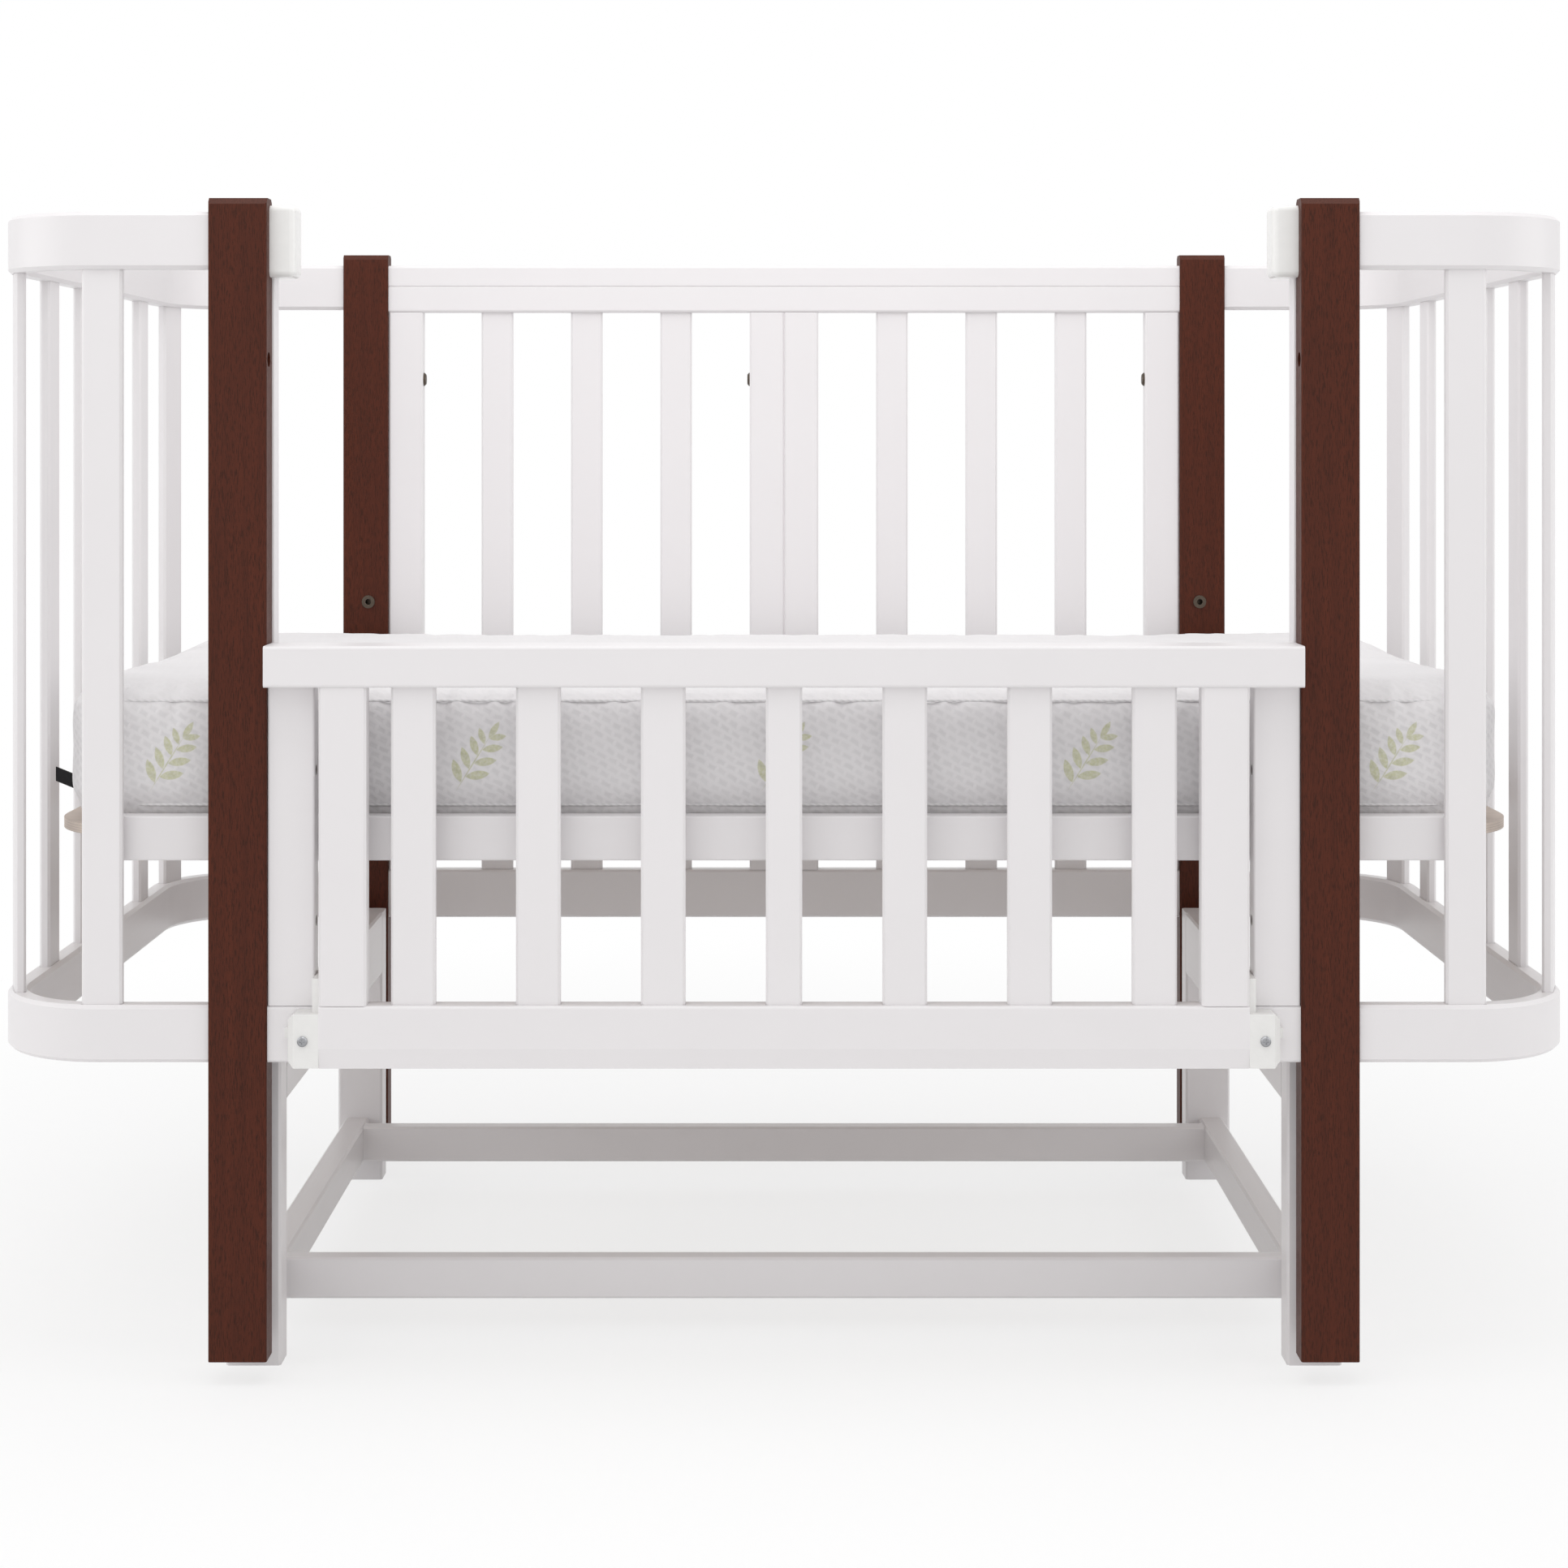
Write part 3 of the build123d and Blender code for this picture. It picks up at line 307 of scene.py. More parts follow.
class COT_OT_stained_posts(bpy.types.Operator):
    """Gives the four posts their dark stain"""

    bl_idname = "cot.stained_posts"
    bl_label = "Stained Posts"

    def execute(self, context):
        settings = context.scene.cot_finish
        stain = stained_beech(tuple(settings.stain), tuple(settings.stain_pores))
        dress_slot("dark_stained_wood", stain)
        return {"FINISHED"}


def birch_plywood(colour):
    """Sanded birch plywood: pale, long soft grain on the face, and darker glue lines through the edge."""
    material, tree = new_material("birch_plywood_sanded")
    place = add(tree, "ShaderNodeTexCoord")
    stretch = add(tree, "ShaderNodeMapping", {
        "Vector": (place, "Object"), "Scale": grain_scale("X", 14, 420)})
    grain = add(tree, "ShaderNodeTexNoise", {
        "Vector": (stretch, "Vector"), "Scale": 1.0, "Detail": 6.0, "Roughness": 0.6, "Distortion": 0.6})
    face = add(tree, "ShaderNodeMix", {
        0: (grain, "Fac"), 6: toned(colour, 0.8), 7: toned(colour, 1.1)}, data_type="RGBA")
    split = add(tree, "ShaderNodeSeparateXYZ", {"Vector": (place, "Object")})
    ply = add(tree, "ShaderNodeMath", {0: (split, "Z"), 1: 1 / (2.0 * MM)}, operation="MULTIPLY")
    turn = add(tree, "ShaderNodeMath", {0: (ply, "Value")}, operation="FRACT")
    glue = add(tree, "ShaderNodeMapRange", {
        "Value": (turn, "Value"), "From Min": 0.0, "From Max": 0.25, "To Min": 0.62, "To Max": 1.0})
    normal = add(tree, "ShaderNodeNewGeometry")
    up = add(tree, "ShaderNodeSeparateXYZ", {"Vector": (normal, "Normal")})
    flat = add(tree, "ShaderNodeMath", {0: (up, "Z")}, operation="ABSOLUTE")
    on_edge = add(tree, "ShaderNodeMapRange", {
        "Value": (flat, "Value"), "From Min": 0.3, "From Max": 0.6, "To Min": 1.0, "To Max": 0.0})
    line = add(tree, "ShaderNodeMix", {
        "Factor": (on_edge, "Result"), "A": 1.0, "B": (glue, "Result")}, data_type="FLOAT")
    paint = add(tree, "ShaderNodeMix", {
        0: 1.0, 6: (face, 2), 7: (line, 0)}, data_type="RGBA", blend_type="MULTIPLY")
    bump = add(tree, "ShaderNodeBump", {"Height": (grain, "Fac"), "Strength": 0.1, "Distance": 0.3 * MM})
    shader = add(tree, "ShaderNodeBsdfPrincipled", {
        "Base Color": (paint, 2), "Roughness": 0.62, "Normal": (bump, "Normal"), "IOR": 1.5})
    add(tree, "ShaderNodeOutputMaterial", {"Surface": (shader, "BSDF")})
    return material


class COT_OT_plywood_deck(bpy.types.Operator):
    """Gives the bed deck and its battens bare plywood"""

    bl_idname = "cot.plywood_deck"
    bl_label = "Plywood Deck"

    def execute(self, context):
        plywood = birch_plywood(tuple(context.scene.cot_finish.plywood))
        dress_slot("birch_plywood", plywood)
        return {"FINISHED"}


def plated_steel(name, colour, roughness):
    """Plated steel: a bright metal with fine scuffs from the tumbler."""
    material, tree = new_material(name)
    place = add(tree, "ShaderNodeTexCoord")
    scuff = add(tree, "ShaderNodeTexNoise", {
        "Vector": (place, "Object"), "Scale": 1 / (2.5 * MM), "Detail": 5.0, "Roughness": 0.7})
    tone = add(tree, "ShaderNodeMix", {
        0: (scuff, "Fac"), 6: toned(colour, 0.8), 7: toned(colour, 1.1)}, data_type="RGBA")
    rough = add(tree, "ShaderNodeMapRange", {
        "Value": (scuff, "Fac"), "From Min": 0.3, "From Max": 0.7,
        "To Min": roughness - 0.08, "To Max": roughness + 0.1})
    bump = add(tree, "ShaderNodeBump", {"Height": (scuff, "Fac"), "Strength": 0.06, "Distance": 0.2 * MM})
    shader = add(tree, "ShaderNodeBsdfPrincipled", {
        "Base Color": (tone, 2), "Metallic": 1.0, "Roughness": (rough, "Result"), "Normal": (bump, "Normal")})
    add(tree, "ShaderNodeOutputMaterial", {"Surface": (shader, "BSDF")})
    return material


class COT_OT_metalwork(bpy.types.Operator):
    """Gives links, pins, bolts and inserts their plated steel"""

    bl_idname = "cot.metalwork"
    bl_label = "Metalwork"

    def execute(self, context):
        dress_slot("steel", plated_steel("zinc_plated_steel", linear("A2A3A6"), 0.34))
        dress_slot("dark_steel", plated_steel("bronzed_steel", linear("5A5148"), 0.42))
        return {"FINISHED"}


def moulded_abs(colour):
    """White ABS from a polished mould: glossy, with a faint ripple."""
    material, tree = new_material("moulded_white_abs")
    place = add(tree, "ShaderNodeTexCoord")
    ripple = add(tree, "ShaderNodeTexNoise", {
        "Vector": (place, "Object"), "Scale": 1 / (6 * MM), "Detail": 2.0})
    tone = add(tree, "ShaderNodeMix", {
        0: (ripple, "Fac"), 6: toned(colour, 0.97), 7: toned(colour, 1.02)}, data_type="RGBA")
    bump = add(tree, "ShaderNodeBump", {"Height": (ripple, "Fac"), "Strength": 0.04, "Distance": 0.5 * MM})
    rough = add(tree, "ShaderNodeMapRange", {"Value": (ripple, "Fac"), "To Min": 0.16, "To Max": 0.26})
    shader = add(tree, "ShaderNodeBsdfPrincipled", {
        "Base Color": (tone, 2), "Roughness": (rough, "Result"), "Normal": (bump, "Normal"), "IOR": 1.53})
    add(tree, "ShaderNodeOutputMaterial", {"Surface": (shader, "BSDF")})
    return material


class COT_OT_plastic_fittings(bpy.types.Operator):
    """Gives the gate's sliders and the rail end blocks their moulded plastic"""

    bl_idname = "cot.plastic_fittings"
    bl_label = "Plastic Fittings"

    def execute(self, context):
        dress_slot("white_plastic", moulded_abs(linear("E7E6E4")))
        return {"FINISHED"}


def plan_loop(name, length, width, corner, place):
    """A flat rounded rectangle, its corners rounded in edit mode."""
    start_clean()
    bpy.ops.mesh.primitive_plane_add(size=1, location=place)
    plan = bpy.context.object
    plan.name = name
    plan.scale = (length, width, 1)
    bpy.ops.object.transform_apply(location=True, rotation=True, scale=True)
    bpy.ops.object.mode_set(mode="EDIT")
    bpy.ops.mesh.select_all(action="SELECT")
    bpy.ops.mesh.bevel(offset=corner, segments=10, affect="VERTICES")
    bpy.ops.object.mode_set(mode="OBJECT")
    return plan


def raised_blank(settings):
    """The mattress before it is puffed up: a rounded plan that is raised and drawn in, ring by ring."""
    length, width = BED_SIZE.x, BED_SIZE.y
    band, foot = settings.band, settings.foot
    # each ring's height above the deck, and how far it is drawn in from the mattress's box
    rings = [(0, 13 * MM), (foot * 0.3, 9.5 * MM), (foot * 0.6, 6.5 * MM), (foot, 6 * MM),
             (foot + 8 * MM, 2.5 * MM), ((foot + band) / 2, 4 * MM),
             (band - 13 * MM, 2.5 * MM), (band - 5 * MM, 3 * MM), (band, 8.5 * MM),
             (band + 4 * MM, 9 * MM), (band + 8.5 * MM, 12 * MM), (band + 11 * MM, 19 * MM),
             (band + 12.5 * MM, 34 * MM), (band + 13 * MM, 80 * MM), (band + 13.3 * MM, 160 * MM)]
    first = rings[0][1]
    blank = plan_loop("mattress_blank", length - 2 * first, width - 2 * first, settings.corner - first,
                      (BED_MIDDLE.x, BED_MIDDLE.y, BED_LOW.z))
    bpy.ops.object.mode_set(mode="EDIT")
    bpy.ops.mesh.select_all(action="SELECT")
    for (z0, inset0), (z1, inset1) in zip(rings, rings[1:]):
        bpy.ops.mesh.extrude_region_move(TRANSFORM_OT_translate={"value": (0, 0, z1 - z0)})
        shrink = ((length - 2 * inset1) / (length - 2 * inset0),
                  (width - 2 * inset1) / (width - 2 * inset0), 1)
        middle = (BED_MIDDLE.x, BED_MIDDLE.y, BED_LOW.z + z1)
        bpy.ops.transform.resize(value=shrink, center_override=middle)
    bpy.ops.mesh.select_all(action="SELECT")
    bpy.ops.mesh.normals_make_consistent(inside=False)
    bpy.ops.object.mode_set(mode="OBJECT")
    return blank


def read_points(obj):
    """The object's vertices as an array."""
    points = np.empty(len(obj.data.vertices) * 3)
    obj.data.vertices.foreach_get("co", points)
    return points.reshape(-1, 3)


def write_points(obj, points):
    """Puts an array back as the object's vertices."""
    obj.data.vertices.foreach_set("co", points.ravel())
    obj.data.update()


def puff_up(cover, settings):
    """Cloth under pressure, held along both seams and underneath, with each point's way capped."""
    before = read_points(cover)
    heights = before[:, 2] - BED_LOW.z
    upper = np.abs(heights - settings.band) < 0.6 * settings.voxel
    lower = np.abs(heights - settings.foot) < 0.6 * settings.voxel
    held = (heights < 4 * MM) | upper | lower
    pins = cover.vertex_groups.new(name="seams")
    pins.add(np.flatnonzero(held).tolist(), 1.0, "REPLACE")
    make_active(cover)
    bpy.ops.object.modifier_add(type="CLOTH")
    cloth = cover.modifiers[-1]
    cloth.settings.quality = 6
    cloth.settings.mass = 0.25
    cloth.settings.tension_stiffness = 12
    cloth.settings.compression_stiffness = 12
    cloth.settings.bending_stiffness = 0.6
    cloth.settings.vertex_group_mass = "seams"
    cloth.settings.shrink_min = -0.012
    cloth.settings.use_pressure = True
    cloth.settings.uniform_pressure_force = 4
    cloth.settings.effector_weights.gravity = 0
    scene = bpy.context.scene
    for number in range(1, CLOTH_FRAMES + 1):
        scene.frame_set(number)
    bpy.ops.object.modifier_apply(modifier=cloth.name)
    scene.frame_set(1)
    way = read_points(cover) - before
    length = np.linalg.norm(way, axis=1, keepdims=True)
    write_points(cover, before + way * np.minimum(1, settings.puff / np.maximum(length, 1e-9)))
    cover.vertex_groups.clear()


def way_round(points, corner):
    """How far round the mattress each point lies from the middle of the front, without its sign."""
    x = np.abs(points[:, 0] - BED_MIDDLE.x)
    y = points[:, 1] - BED_MIDDLE.y
    core_x, core_y = BED_SIZE.x / 2 - corner, BED_SIZE.y / 2 - corner
    front = core_x + corner * np.arctan2(x - core_x, np.maximum(-y - core_y, 1e-9))
    end = core_x + corner * math.pi / 2 + y + core_y
    rear = core_x + corner * math.pi / 2 + 2 * core_y
    rear_turn = rear + corner * np.arctan2(y - core_y, np.maximum(x - core_x, 1e-9))
    rear_run = rear + corner * math.pi / 2 + core_x - x
    inside = x < core_x
    return np.where(inside & (y < 0), x, np.where(inside, rear_run, np.where(
        y < -core_y, front, np.where(y > core_y, rear_turn, end))))


def pucker(cover, settings):
    """Small gathers along the upper seam, and the whole cover kept inside the mattress's own box."""
    points = read_points(cover)
    normals = np.empty(len(points) * 3)
    cover.data.vertices.foreach_get("normal", normals)
    normals = normals.reshape(-1, 3)
    along = way_round(points, settings.corner) * np.sign(points[:, 0] - BED_MIDDLE.x)
    uneven = along + 7 * MM * np.sin(along / (19 * MM)) + 5 * MM * np.sin(along / (7.3 * MM))
    off_seam = (points[:, 2] - BED_LOW.z - settings.band) / (15 * MM)
    tightness = 1.5 * MM * (0.7 + 0.3 * np.sin(along / (58 * MM)))
    gather = tightness * np.sin(uneven * 2 * math.pi / (31 * MM)) * np.exp(-off_seam ** 2)
    soft = 0.8 * MM * np.sin(points[:, 0] / (37 * MM) + 1.3 * np.sin(points[:, 1] / (53 * MM)))
    soft *= np.sin(points[:, 1] / (41 * MM) + np.sin(points[:, 0] / (67 * MM)))
    points += normals * (gather + soft)[:, None]
    low, high = np.array(BED_LOW), np.array(BED_HIGH)
    write_points(cover, np.clip(points, low, high))


def lay_knit(cover, corner):
    """A UV map in metres: round the band on the sides, straight across on the top and underneath."""
    mesh = cover.data
    points = read_points(cover)
    round_it = way_round(points, corner)
    uv = mesh.uv_layers.new(name="knit")
    flat = np.empty((len(mesh.loops), 2))
    for face in mesh.polygons:
        side = -1 if face.center.x < BED_MIDDLE.x else 1
        for loop in face.loop_indices:
            vertex = mesh.loops[loop].vertex_index
            if abs(face.normal.z) > 0.75:
                flat[loop] = points[vertex, :2]
            else:
                flat[loop] = (side * round_it[vertex], points[vertex, 2])
    uv.data.foreach_set("uv", flat.ravel())


def sprig_leaves():
    """A slanting stem with pairs of leaves, in millimetres: middle along and up, lean, length, width."""
    slant = math.radians(32)
    step = Vector((math.sin(slant), math.cos(slant)))
    root = Vector((-20, 27))
    leaves = [(*(root + step * 29), slant, 60, 1.8), (*(root + step * 62), slant, 17, 6)]
    for along, length, width in ((14, 21, 8), (27, 20, 7.5), (40, 18, 7), (51, 15, 6)):
        for side in (-1, 1):
            lean = slant + side * math.radians(50)
            way = Vector((math.sin(lean), math.cos(lean)))
            leaves.append((*(root + step * (along + side * 3) + way * (length / 2)), lean, length, width))
    return leaves


def knitted_cover(colour, leaf):
    """Knitted polyester: matt white, with staggered rows of short sunk stitches, painted darker as shade, and
    printed leaf sprigs.
    """
    material, tree = new_material("knitted_polyester_cover")
    place = add(tree, "ShaderNodeUVMap", uv_map="knit")
    stray = add(tree, "ShaderNodeTexNoise", {
        "Vector": (place, "UV"), "Scale": 1 / (14 * MM), "Detail": 1.0})
    sway = add(tree, "ShaderNodeVectorMath", {0: (stray, "Color"), "Scale": 5 * MM}, operation="SCALE")
    thread = add(tree, "ShaderNodeVectorMath", {0: (place, "UV"), 1: (sway, "Vector")}, operation="ADD")
    turn = add(tree, "ShaderNodeMapping", {
        "Vector": (thread, "Vector"), "Rotation": (0, 0, math.radians(28)), "Scale": (1 / (18 * MM),) * 3})
    # real stitches are about 2 mm long; they are drawn twice as long, so that the rows show
    stitch = add(tree, "ShaderNodeTexBrick", {
        "Vector": (turn, "Vector"), "Scale": 1.0,
        "Color1": (0, 0, 0, 1), "Color2": (0.5, 0.5, 0.5, 1), "Mortar": (1, 1, 1, 1),
        "Mortar Size": 0.15, "Mortar Smooth": 0.8, "Brick Width": 0.55, "Row Height": 0.37})
    loft = add(tree, "ShaderNodeTexNoise", {
        "Vector": (place, "UV"), "Scale": 1 / (2.2 * MM), "Detail": 3.0})
    drift = add(tree, "ShaderNodeTexNoise", {
        "Vector": (place, "UV"), "Scale": 1 / (60 * MM), "Detail": 2.0})
    ground = add(tree, "ShaderNodeMix", {
        0: (drift, "Fac"), 6: toned(colour, 0.95), 7: toned(colour, 1.03)}, data_type="RGBA")
    # one sprig in every 250 mm of the band
    cell = add(tree, "ShaderNodeVectorMath", {
        0: (place, "UV"), 1: (125 * MM, 10.0, 10.0), 2: (-125 * MM, -10.0, -10.0)}, operation="WRAP")
    printed = None
    for across, up, lean, length, width in sprig_leaves():
        # a leaf is where two circles overlap
        radius = (length * length + width * width) / width / 4 * MM
        off = radius - width / 2 * MM
        middle = Vector((across * MM, BED_LOW.z + up * MM, 0))
        middle.rotate(Euler((0, 0, lean)))
        blade = add(tree, "ShaderNodeMapping", {
            "Vector": (cell, "Vector"), "Rotation": (0, 0, lean), "Location": -middle})
        left = add(tree, "ShaderNodeVectorMath", {
            0: (blade, "Vector"), 1: (off, 0, 0)}, operation="DISTANCE")
        right = add(tree, "ShaderNodeVectorMath", {
            0: (blade, "Vector"), 1: (-off, 0, 0)}, operation="DISTANCE")
        far = add(tree, "ShaderNodeMath", {0: (left, "Value"), 1: (right, "Value")}, operation="MAXIMUM")
        mask = add(tree, "ShaderNodeMapRange", {
            "Value": (far, "Value"), "From Min": radius - 0.8 * MM, "From Max": radius,
            "To Min": 1.0, "To Max": 0.0})
        if printed:
            printed = add(tree, "ShaderNodeMath", {0: (printed, 0), 1: (mask, 0)}, operation="MAXIMUM")
        else:
            printed = mask
    worn = add(tree, "ShaderNodeMapRange", {
        "Value": (loft, "Fac"), "From Min": 0.3, "From Max": 0.7, "To Min": 0.45, "To Max": 0.9})
    share = add(tree, "ShaderNodeMath", {0: (printed, 0), 1: (worn, "Result")}, operation="MULTIPLY")
    inked = add(tree, "ShaderNodeMix", {
        0: (share, "Value"), 6: (ground, 2), 7: toned(leaf, 1.0)}, data_type="RGBA")
    facing = add(tree, "ShaderNodeNewGeometry")
    upward = add(tree, "ShaderNodeSeparateXYZ", {"Vector": (facing, "Normal")})
    # the painted shade in the stitches is stronger on the sides, which face away from the light, than on the
    # top
    stitch_shade_by_facing = add(tree, "ShaderNodeMapRange", {
        "Value": (upward, "Z"), "From Min": 0.35, "From Max": 0.8, "To Min": 0.1, "To Max": 0.02})
    # the sunk stitches are darkened here: painted shade in the stitches
    tone = add(tree, "ShaderNodeMix", {
        0: (stitch_shade_by_facing, "Result"), 6: (inked, 2), 7: (stitch, "Color")}, data_type="RGBA", blend_type="MULTIPLY")
    pile = add(tree, "ShaderNodeMath", {0: (loft, "Fac"), 1: 0.25}, operation="MULTIPLY")
    relief = add(tree, "ShaderNodeMath", {0: (stitch, "Fac"), 1: (pile, "Value")}, operation="ADD")
    bump = add(tree, "ShaderNodeBump", {
        "Height": (relief, "Value"), "Strength": 0.4, "Distance": 0.5 * MM})
    shader = add(tree, "ShaderNodeBsdfPrincipled", {
        "Base Color": (tone, 2), "Roughness": 0.9, "Normal": (bump, "Normal"), "IOR": 1.45,
        "Sheen Weight": 0.15})
    add(tree, "ShaderNodeOutputMaterial", {"Surface": (shader, "BSDF")})
    return material


def woven_tape(name, colour):
    """Woven cotton tape: matt, with a fine twill line whose grooves are painted darker as shade."""
    material, tree = new_material(name)
    place = add(tree, "ShaderNodeTexCoord")
    twill_relief_and_shade = add(tree, "ShaderNodeTexWave", {
        "Vector": (place, "Object"), "Scale": 1 / (9 * MM), "Distortion": 0.6}, bands_direction="DIAGONAL")
    # the twill's grooves are painted darker: painted shade
    tone = add(tree, "ShaderNodeMix", {
        0: (twill_relief_and_shade, "Fac"), 6: toned(colour, 0.86), 7: toned(colour, 1.0)}, data_type="RGBA")
    bump = add(tree, "ShaderNodeBump", {"Height": (twill_relief_and_shade, "Fac"), "Strength": 0.3, "Distance": 0.3 * MM})
    shader = add(tree, "ShaderNodeBsdfPrincipled", {
        "Base Color": (tone, 2), "Roughness": 0.88, "Normal": (bump, "Normal"), "IOR": 1.45})
    add(tree, "ShaderNodeOutputMaterial", {"Surface": (shader, "BSDF")})
    return material


class COT_OT_mattress(bpy.types.Operator):
    """Makes the mattress: a blank with drawn-in sides, puffed up as cloth between its seams"""

    bl_idname = "cot.mattress"
    bl_label = "Mattress"

    def execute(self, context):
        settings = context.scene.cot_mattress
        blank = raised_blank(settings)
        make_active(blank)
        blank.data.remesh_voxel_size = settings.voxel
        bpy.ops.object.voxel_remesh()
        cover = bpy.data.objects.new("mattress_cover", blank.data.copy())
        context.scene.collection.objects.link(cover)
        bpy.data.objects.remove(blank)
        puff_up(cover, settings)
        make_active(cover)
        bpy.ops.object.modifier_add(type="SMOOTH")
        cover.modifiers[-1].factor = 0.5
        cover.modifiers[-1].iterations = 2
        bpy.ops.object.modifier_add(type="SUBSURF")
        cover.modifiers[-1].levels = 1
        cover.modifiers[-1].render_levels = 1
        apply_all(cover)
        pucker(cover, settings)
        bpy.ops.object.modifier_add(type="DECIMATE")
        cover.modifiers[-1].ratio = 0.45
        apply_all(cover)
        lay_knit(cover, settings.corner)
        bpy.ops.object.shade_smooth()
        finish = context.scene.cot_finish
        dress(cover, knitted_cover(tuple(finish.knit), tuple(finish.leaf)))
        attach(cover, "mattress")
        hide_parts("mattress")
        return {"FINISHED"}


class COT_OT_mattress_piping(bpy.types.Operator):
    """Makes the cords along the upper and the lower seam of the mattress"""

    bl_idname = "cot.mattress_piping"
    bl_label = "Mattress Piping"

    def execute(self, context):
        settings = context.scene.cot_mattress
        tape = woven_tape("cotton_piping", tuple(context.scene.cot_finish.knit))
        seams = {"mattress_piping_upper": (settings.band, 7.5 * MM),
                 "mattress_piping_lower": (settings.foot, 5.5 * MM)}
        for name, (height, inset) in seams.items():
            piping = plan_loop(name, BED_SIZE.x - 2 * inset, BED_SIZE.y - 2 * inset, settings.corner - inset,
                               (BED_MIDDLE.x, BED_MIDDLE.y, BED_LOW.z + height))
            bpy.ops.object.mode_set(mode="EDIT")
            bpy.ops.mesh.select_all(action="SELECT")
            bpy.ops.mesh.delete(type="ONLY_FACE")
            bpy.ops.object.mode_set(mode="OBJECT")
            bpy.ops.object.convert(target="CURVE")
            piping = context.object
            piping.data.bevel_depth = settings.piping
            piping.data.bevel_resolution = 2
            bpy.ops.object.convert(target="MESH")
            piping = context.object
            piping.name = name
            bpy.ops.object.shade_smooth()
            dress(piping, tape)
            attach(piping, "mattress")
        return {"FINISHED"}


class COT_OT_mattress_tab(bpy.types.Operator):
    """Makes the plain black tab sewn into the left end of the mattress"""

    bl_idname = "cot.mattress_tab"
    bl_label = "Mattress Tab"

    def execute(self, context):
        start_clean()
        end = BED_LOW.x
        place = (end - 4 * MM, BED_LOW.y + 82 * MM, BED_LOW.z + 27 * MM)
        bpy.ops.mesh.primitive_cube_add(size=1, location=place)
        tab = context.object
        tab.name = "mattress_tab"
        tab.scale = (25 * MM, 1.8 * MM, 12 * MM)
        bpy.ops.object.transform_apply(location=True, rotation=True, scale=True)
        bpy.ops.object.mode_set(mode="EDIT")
        bpy.ops.mesh.select_all(action="SELECT")
        bpy.ops.mesh.subdivide(number_cuts=5)
        for reach in (3 * MM, 7 * MM, 11 * MM, 15 * MM):
            select_parts(tab, "VERT", lambda at: at.x < end - reach)
            bpy.ops.transform.translate(value=(0, -0.5 * MM, 1.8 * MM))
        select_parts(tab, "EDGE", lambda at, way: at.x < end - 16 * MM and abs(way.z) > 0.9)
        bpy.ops.mesh.bevel(offset=0.5 * MM, segments=2)
        bpy.ops.object.mode_set(mode="OBJECT")
        bpy.ops.object.shade_smooth_by_angle(angle=math.radians(40))
        dress(tab, woven_tape("black_woven_tape", linear("1C1B1D")))
        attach(tab, "mattress")
        return {"FINISHED"}


def studio_floor():
    """A pale matt floor that keeps a faint shadow near the cot and goes white away from it."""
    material, tree = new_material("pale_studio_floor")
    place = add(tree, "ShaderNodeTexCoord")
    reach = add(tree, "ShaderNodeVectorMath", {0: (place, "Object")}, operation="LENGTH")
    far = add(tree, "ShaderNodeMapRange", {
        "Value": (reach, "Value"), "From Min": 0.75, "From Max": 1.7, "To Min": 0.7, "To Max": 1.0},
        interpolation_type="SMOOTHSTEP")
    path = add(tree, "ShaderNodeLightPath")
    seen = add(tree, "ShaderNodeMath", {
        0: (path, "Is Camera Ray"), 1: (path, "Is Glossy Ray")}, operation="MAXIMUM")
    clear = add(tree, "ShaderNodeMath", {
        0: (seen, "Value"), 1: (path, "Is Transmission Ray")}, operation="MAXIMUM")
    share = add(tree, "ShaderNodeMath", {0: (far, "Result"), 1: (clear, "Value")}, operation="MULTIPLY")
    white = add(tree, "ShaderNodeEmission", {"Color": (1, 1, 1, 1), "Strength": 1.0})
    matt = add(tree, "ShaderNodeBsdfPrincipled", {
        "Base Color": toned(linear("F7F7F7"), 1.0), "Roughness": 0.9})
    blend = add(tree, "ShaderNodeMixShader", {0: (share, "Value"), 1: (matt, "BSDF"), 2: (white, "Emission")})
    add(tree, "ShaderNodeOutputMaterial", {"Surface": (blend, "Shader")})
    return material


def studio_world():
    """White to the camera and in reflections, softer as light."""
    world = bpy.data.worlds.new("white_studio")
    bpy.context.scene.world = world
    world.use_nodes = True
    tree = world.node_tree
    tree.nodes.clear()
    path = add(tree, "ShaderNodeLightPath")
    seen = add(tree, "ShaderNodeMath", {
        0: (path, "Is Camera Ray"), 1: (path, "Is Glossy Ray")}, operation="MAXIMUM")
    clear = add(tree, "ShaderNodeMath", {
        0: (seen, "Value"), 1: (path, "Is Transmission Ray")}, operation="MAXIMUM")
    level = add(tree, "ShaderNodeMapRange", {"Value": (clear, "Value"), "To Min": 0.66, "To Max": 1.0})
    sky = add(tree, "ShaderNodeBackground", {"Color": (1, 1, 1, 1), "Strength": (level, "Result")})
    add(tree, "ShaderNodeOutputWorld", {"Surface": (sky, "Background")})


def soft_lamp(name, place, aim, size, power):
    """A square area lamp turned towards a point."""
    start_clean()
    bpy.ops.object.light_add(type="AREA", location=place)
    lamp = bpy.context.object
    lamp.name = name
    lamp.data.size = size
    lamp.data.energy = power
    lamp.rotation_euler = (Vector(aim) - Vector(place)).to_track_quat("-Z", "Y").to_euler()


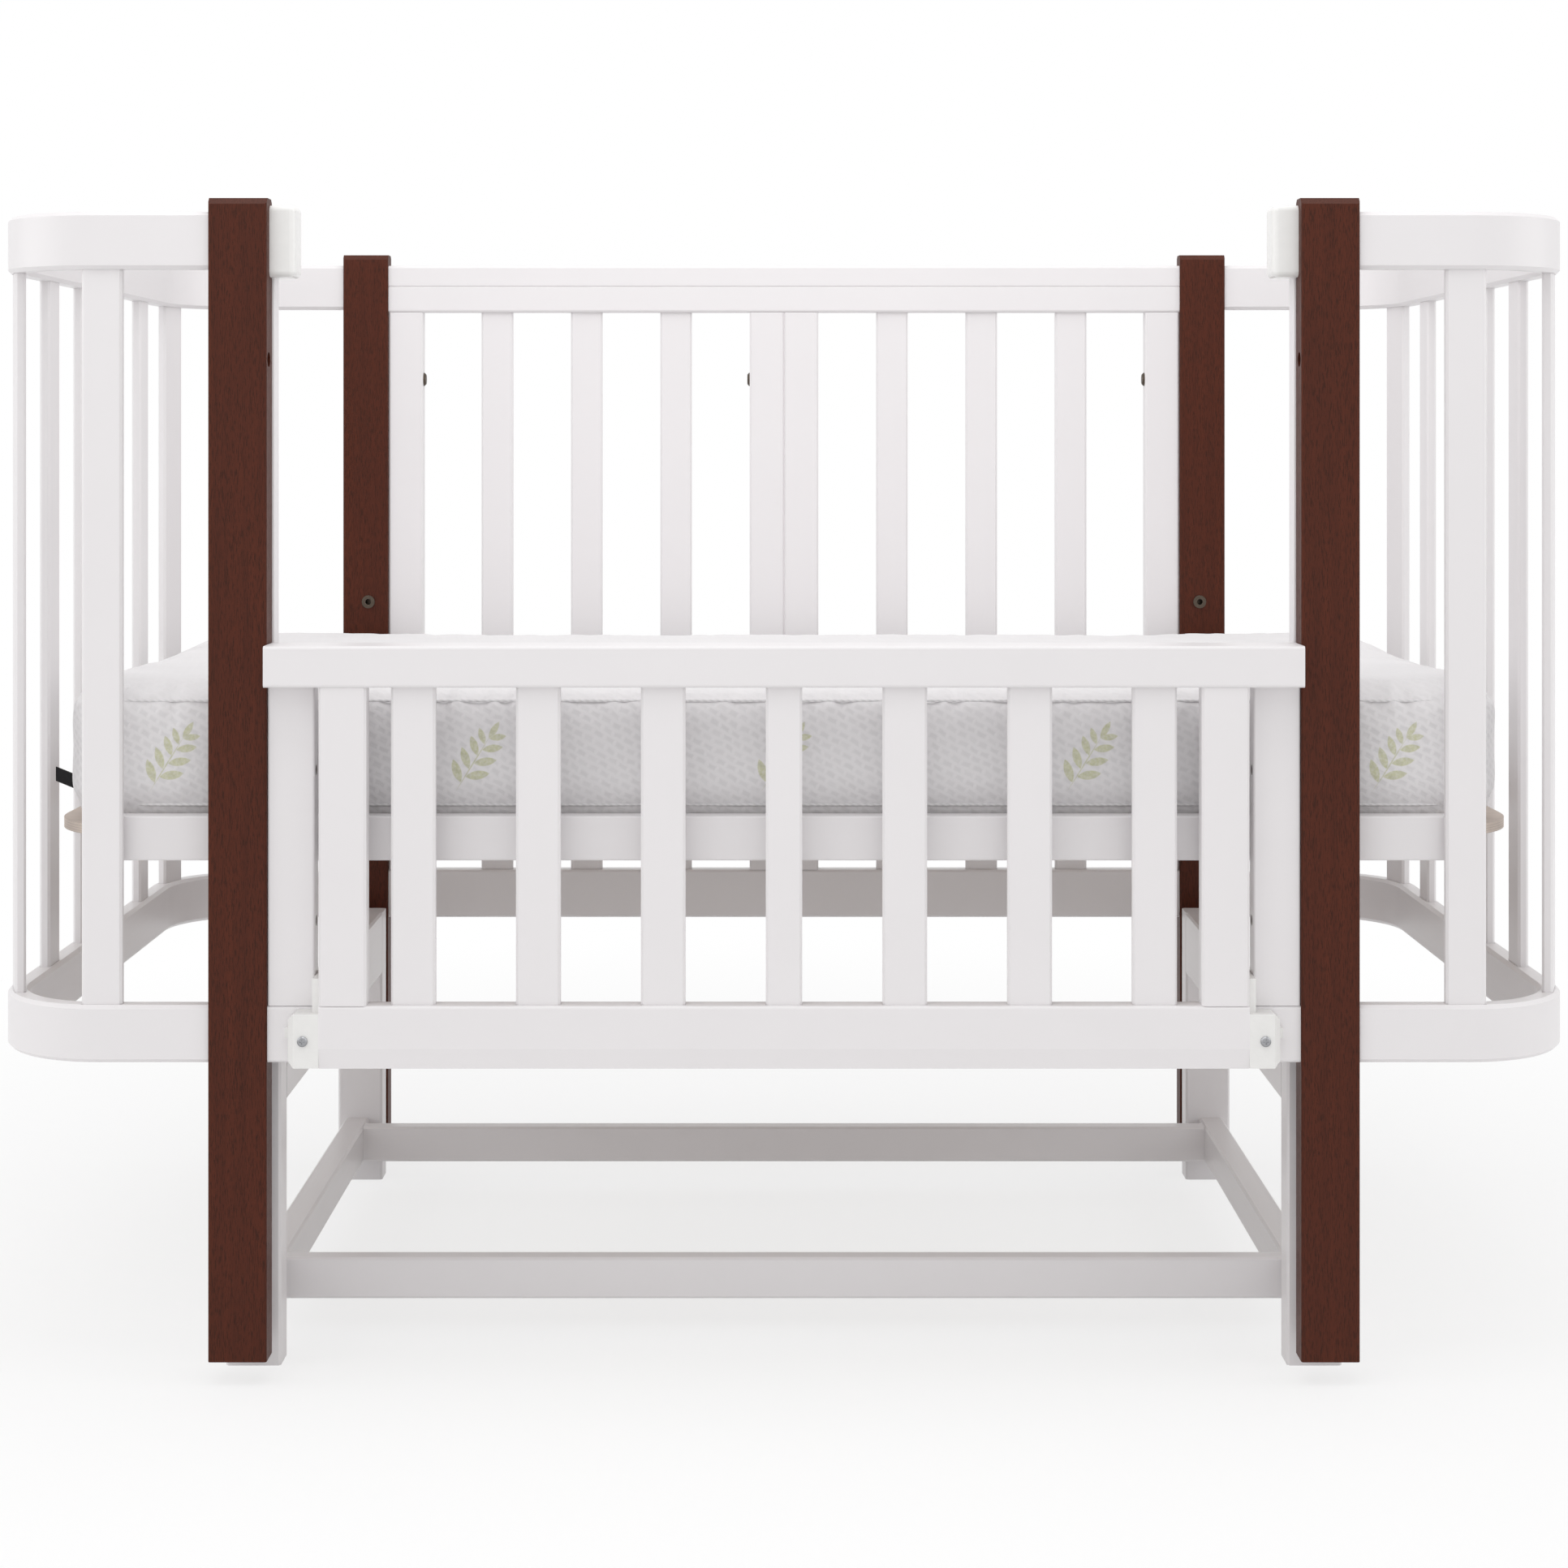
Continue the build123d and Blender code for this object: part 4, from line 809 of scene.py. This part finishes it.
class COT_OT_stage(bpy.types.Operator):
    """Makes the floor, the lamps, the white surroundings and the camera"""

    bl_idname = "cot.stage"
    bl_label = "Stage"

    def execute(self, context):
        settings = context.scene.cot_stage
        start_clean()
        bpy.ops.mesh.primitive_plane_add(size=40, location=(0, 0, 0))
        floor = context.object
        floor.name = "studio_floor"
        dress(floor, studio_floor())
        studio_world()
        soft_lamp("key_lamp", (-0.6, -2.2, 2.9), (0, 0, 0.45), 2.6, settings.key)
        soft_lamp("top_lamp", (0, -0.25, 2.1), (0, 0.25, 0.7), 1.6, settings.top)
        soft_lamp("left_fill", (-2.9, -0.6, 1.5), (0, 0, 0.5), 2.0, settings.fill)
        soft_lamp("right_fill", (2.9, -0.6, 1.5), (0, 0, 0.5), 2.0, settings.fill)
        soft_lamp("front_fill", (0, -6.5, 1.2), (0, 0, 0.5), 3.0, settings.front)
        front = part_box("post_front_left")[0].y
        start_clean()
        bpy.ops.object.camera_add(location=(0, front - settings.distance, settings.height),
                                  rotation=(math.radians(90), 0, 0))
        camera = context.object
        camera.name = "photo_camera"
        camera.data.lens = settings.lens
        camera.data.sensor_width = 36.0
        camera.data.shift_y = -settings.drop
        camera.data.clip_end = 100
        context.scene.camera = camera
        context.scene.view_settings.view_transform = "Standard"
        return {"FINISHED"}


class COT_PT_tools(bpy.types.Panel):
    """Lists the cot's settings and its makers"""

    bl_idname = "COT_PT_tools"
    bl_label = "Cot"
    bl_space_type = "VIEW_3D"
    bl_region_type = "UI"
    bl_category = "Cot"

    def draw(self, context):
        for group in ("cot_finish", "cot_mattress", "cot_stage"):
            settings = getattr(context.scene, group)
            for name in settings.__annotations__:
                self.layout.prop(settings, name)
        for maker in MAKERS:
            self.layout.operator(maker.bl_idname)


SETTINGS = {"cot_finish": FinishSettings, "cot_mattress": MattressSettings, "cot_stage": StageSettings}
MAKERS = (
    COT_OT_lacquered_wood, COT_OT_stained_posts, COT_OT_plywood_deck, COT_OT_metalwork,
    COT_OT_plastic_fittings, COT_OT_mattress, COT_OT_mattress_piping, COT_OT_mattress_tab, COT_OT_stage,
)


def register():
    for group, settings in SETTINGS.items():
        bpy.utils.register_class(settings)
        setattr(bpy.types.Scene, group, PointerProperty(type=settings))
    for maker in (*MAKERS, COT_PT_tools):
        bpy.utils.register_class(maker)


def unregister():
    for maker in (COT_PT_tools, *reversed(MAKERS)):
        bpy.utils.unregister_class(maker)
    for group, settings in SETTINGS.items():
        delattr(bpy.types.Scene, group)
        bpy.utils.unregister_class(settings)


def main():
    register()
    bpy.ops.cot.lacquered_wood()
    bpy.ops.cot.stained_posts()
    bpy.ops.cot.plywood_deck()
    bpy.ops.cot.metalwork()
    bpy.ops.cot.plastic_fittings()
    bpy.ops.cot.mattress()
    bpy.ops.cot.mattress_piping()
    bpy.ops.cot.mattress_tab()
    bpy.ops.cot.stage()


if __name__ == "__main__":
    main()
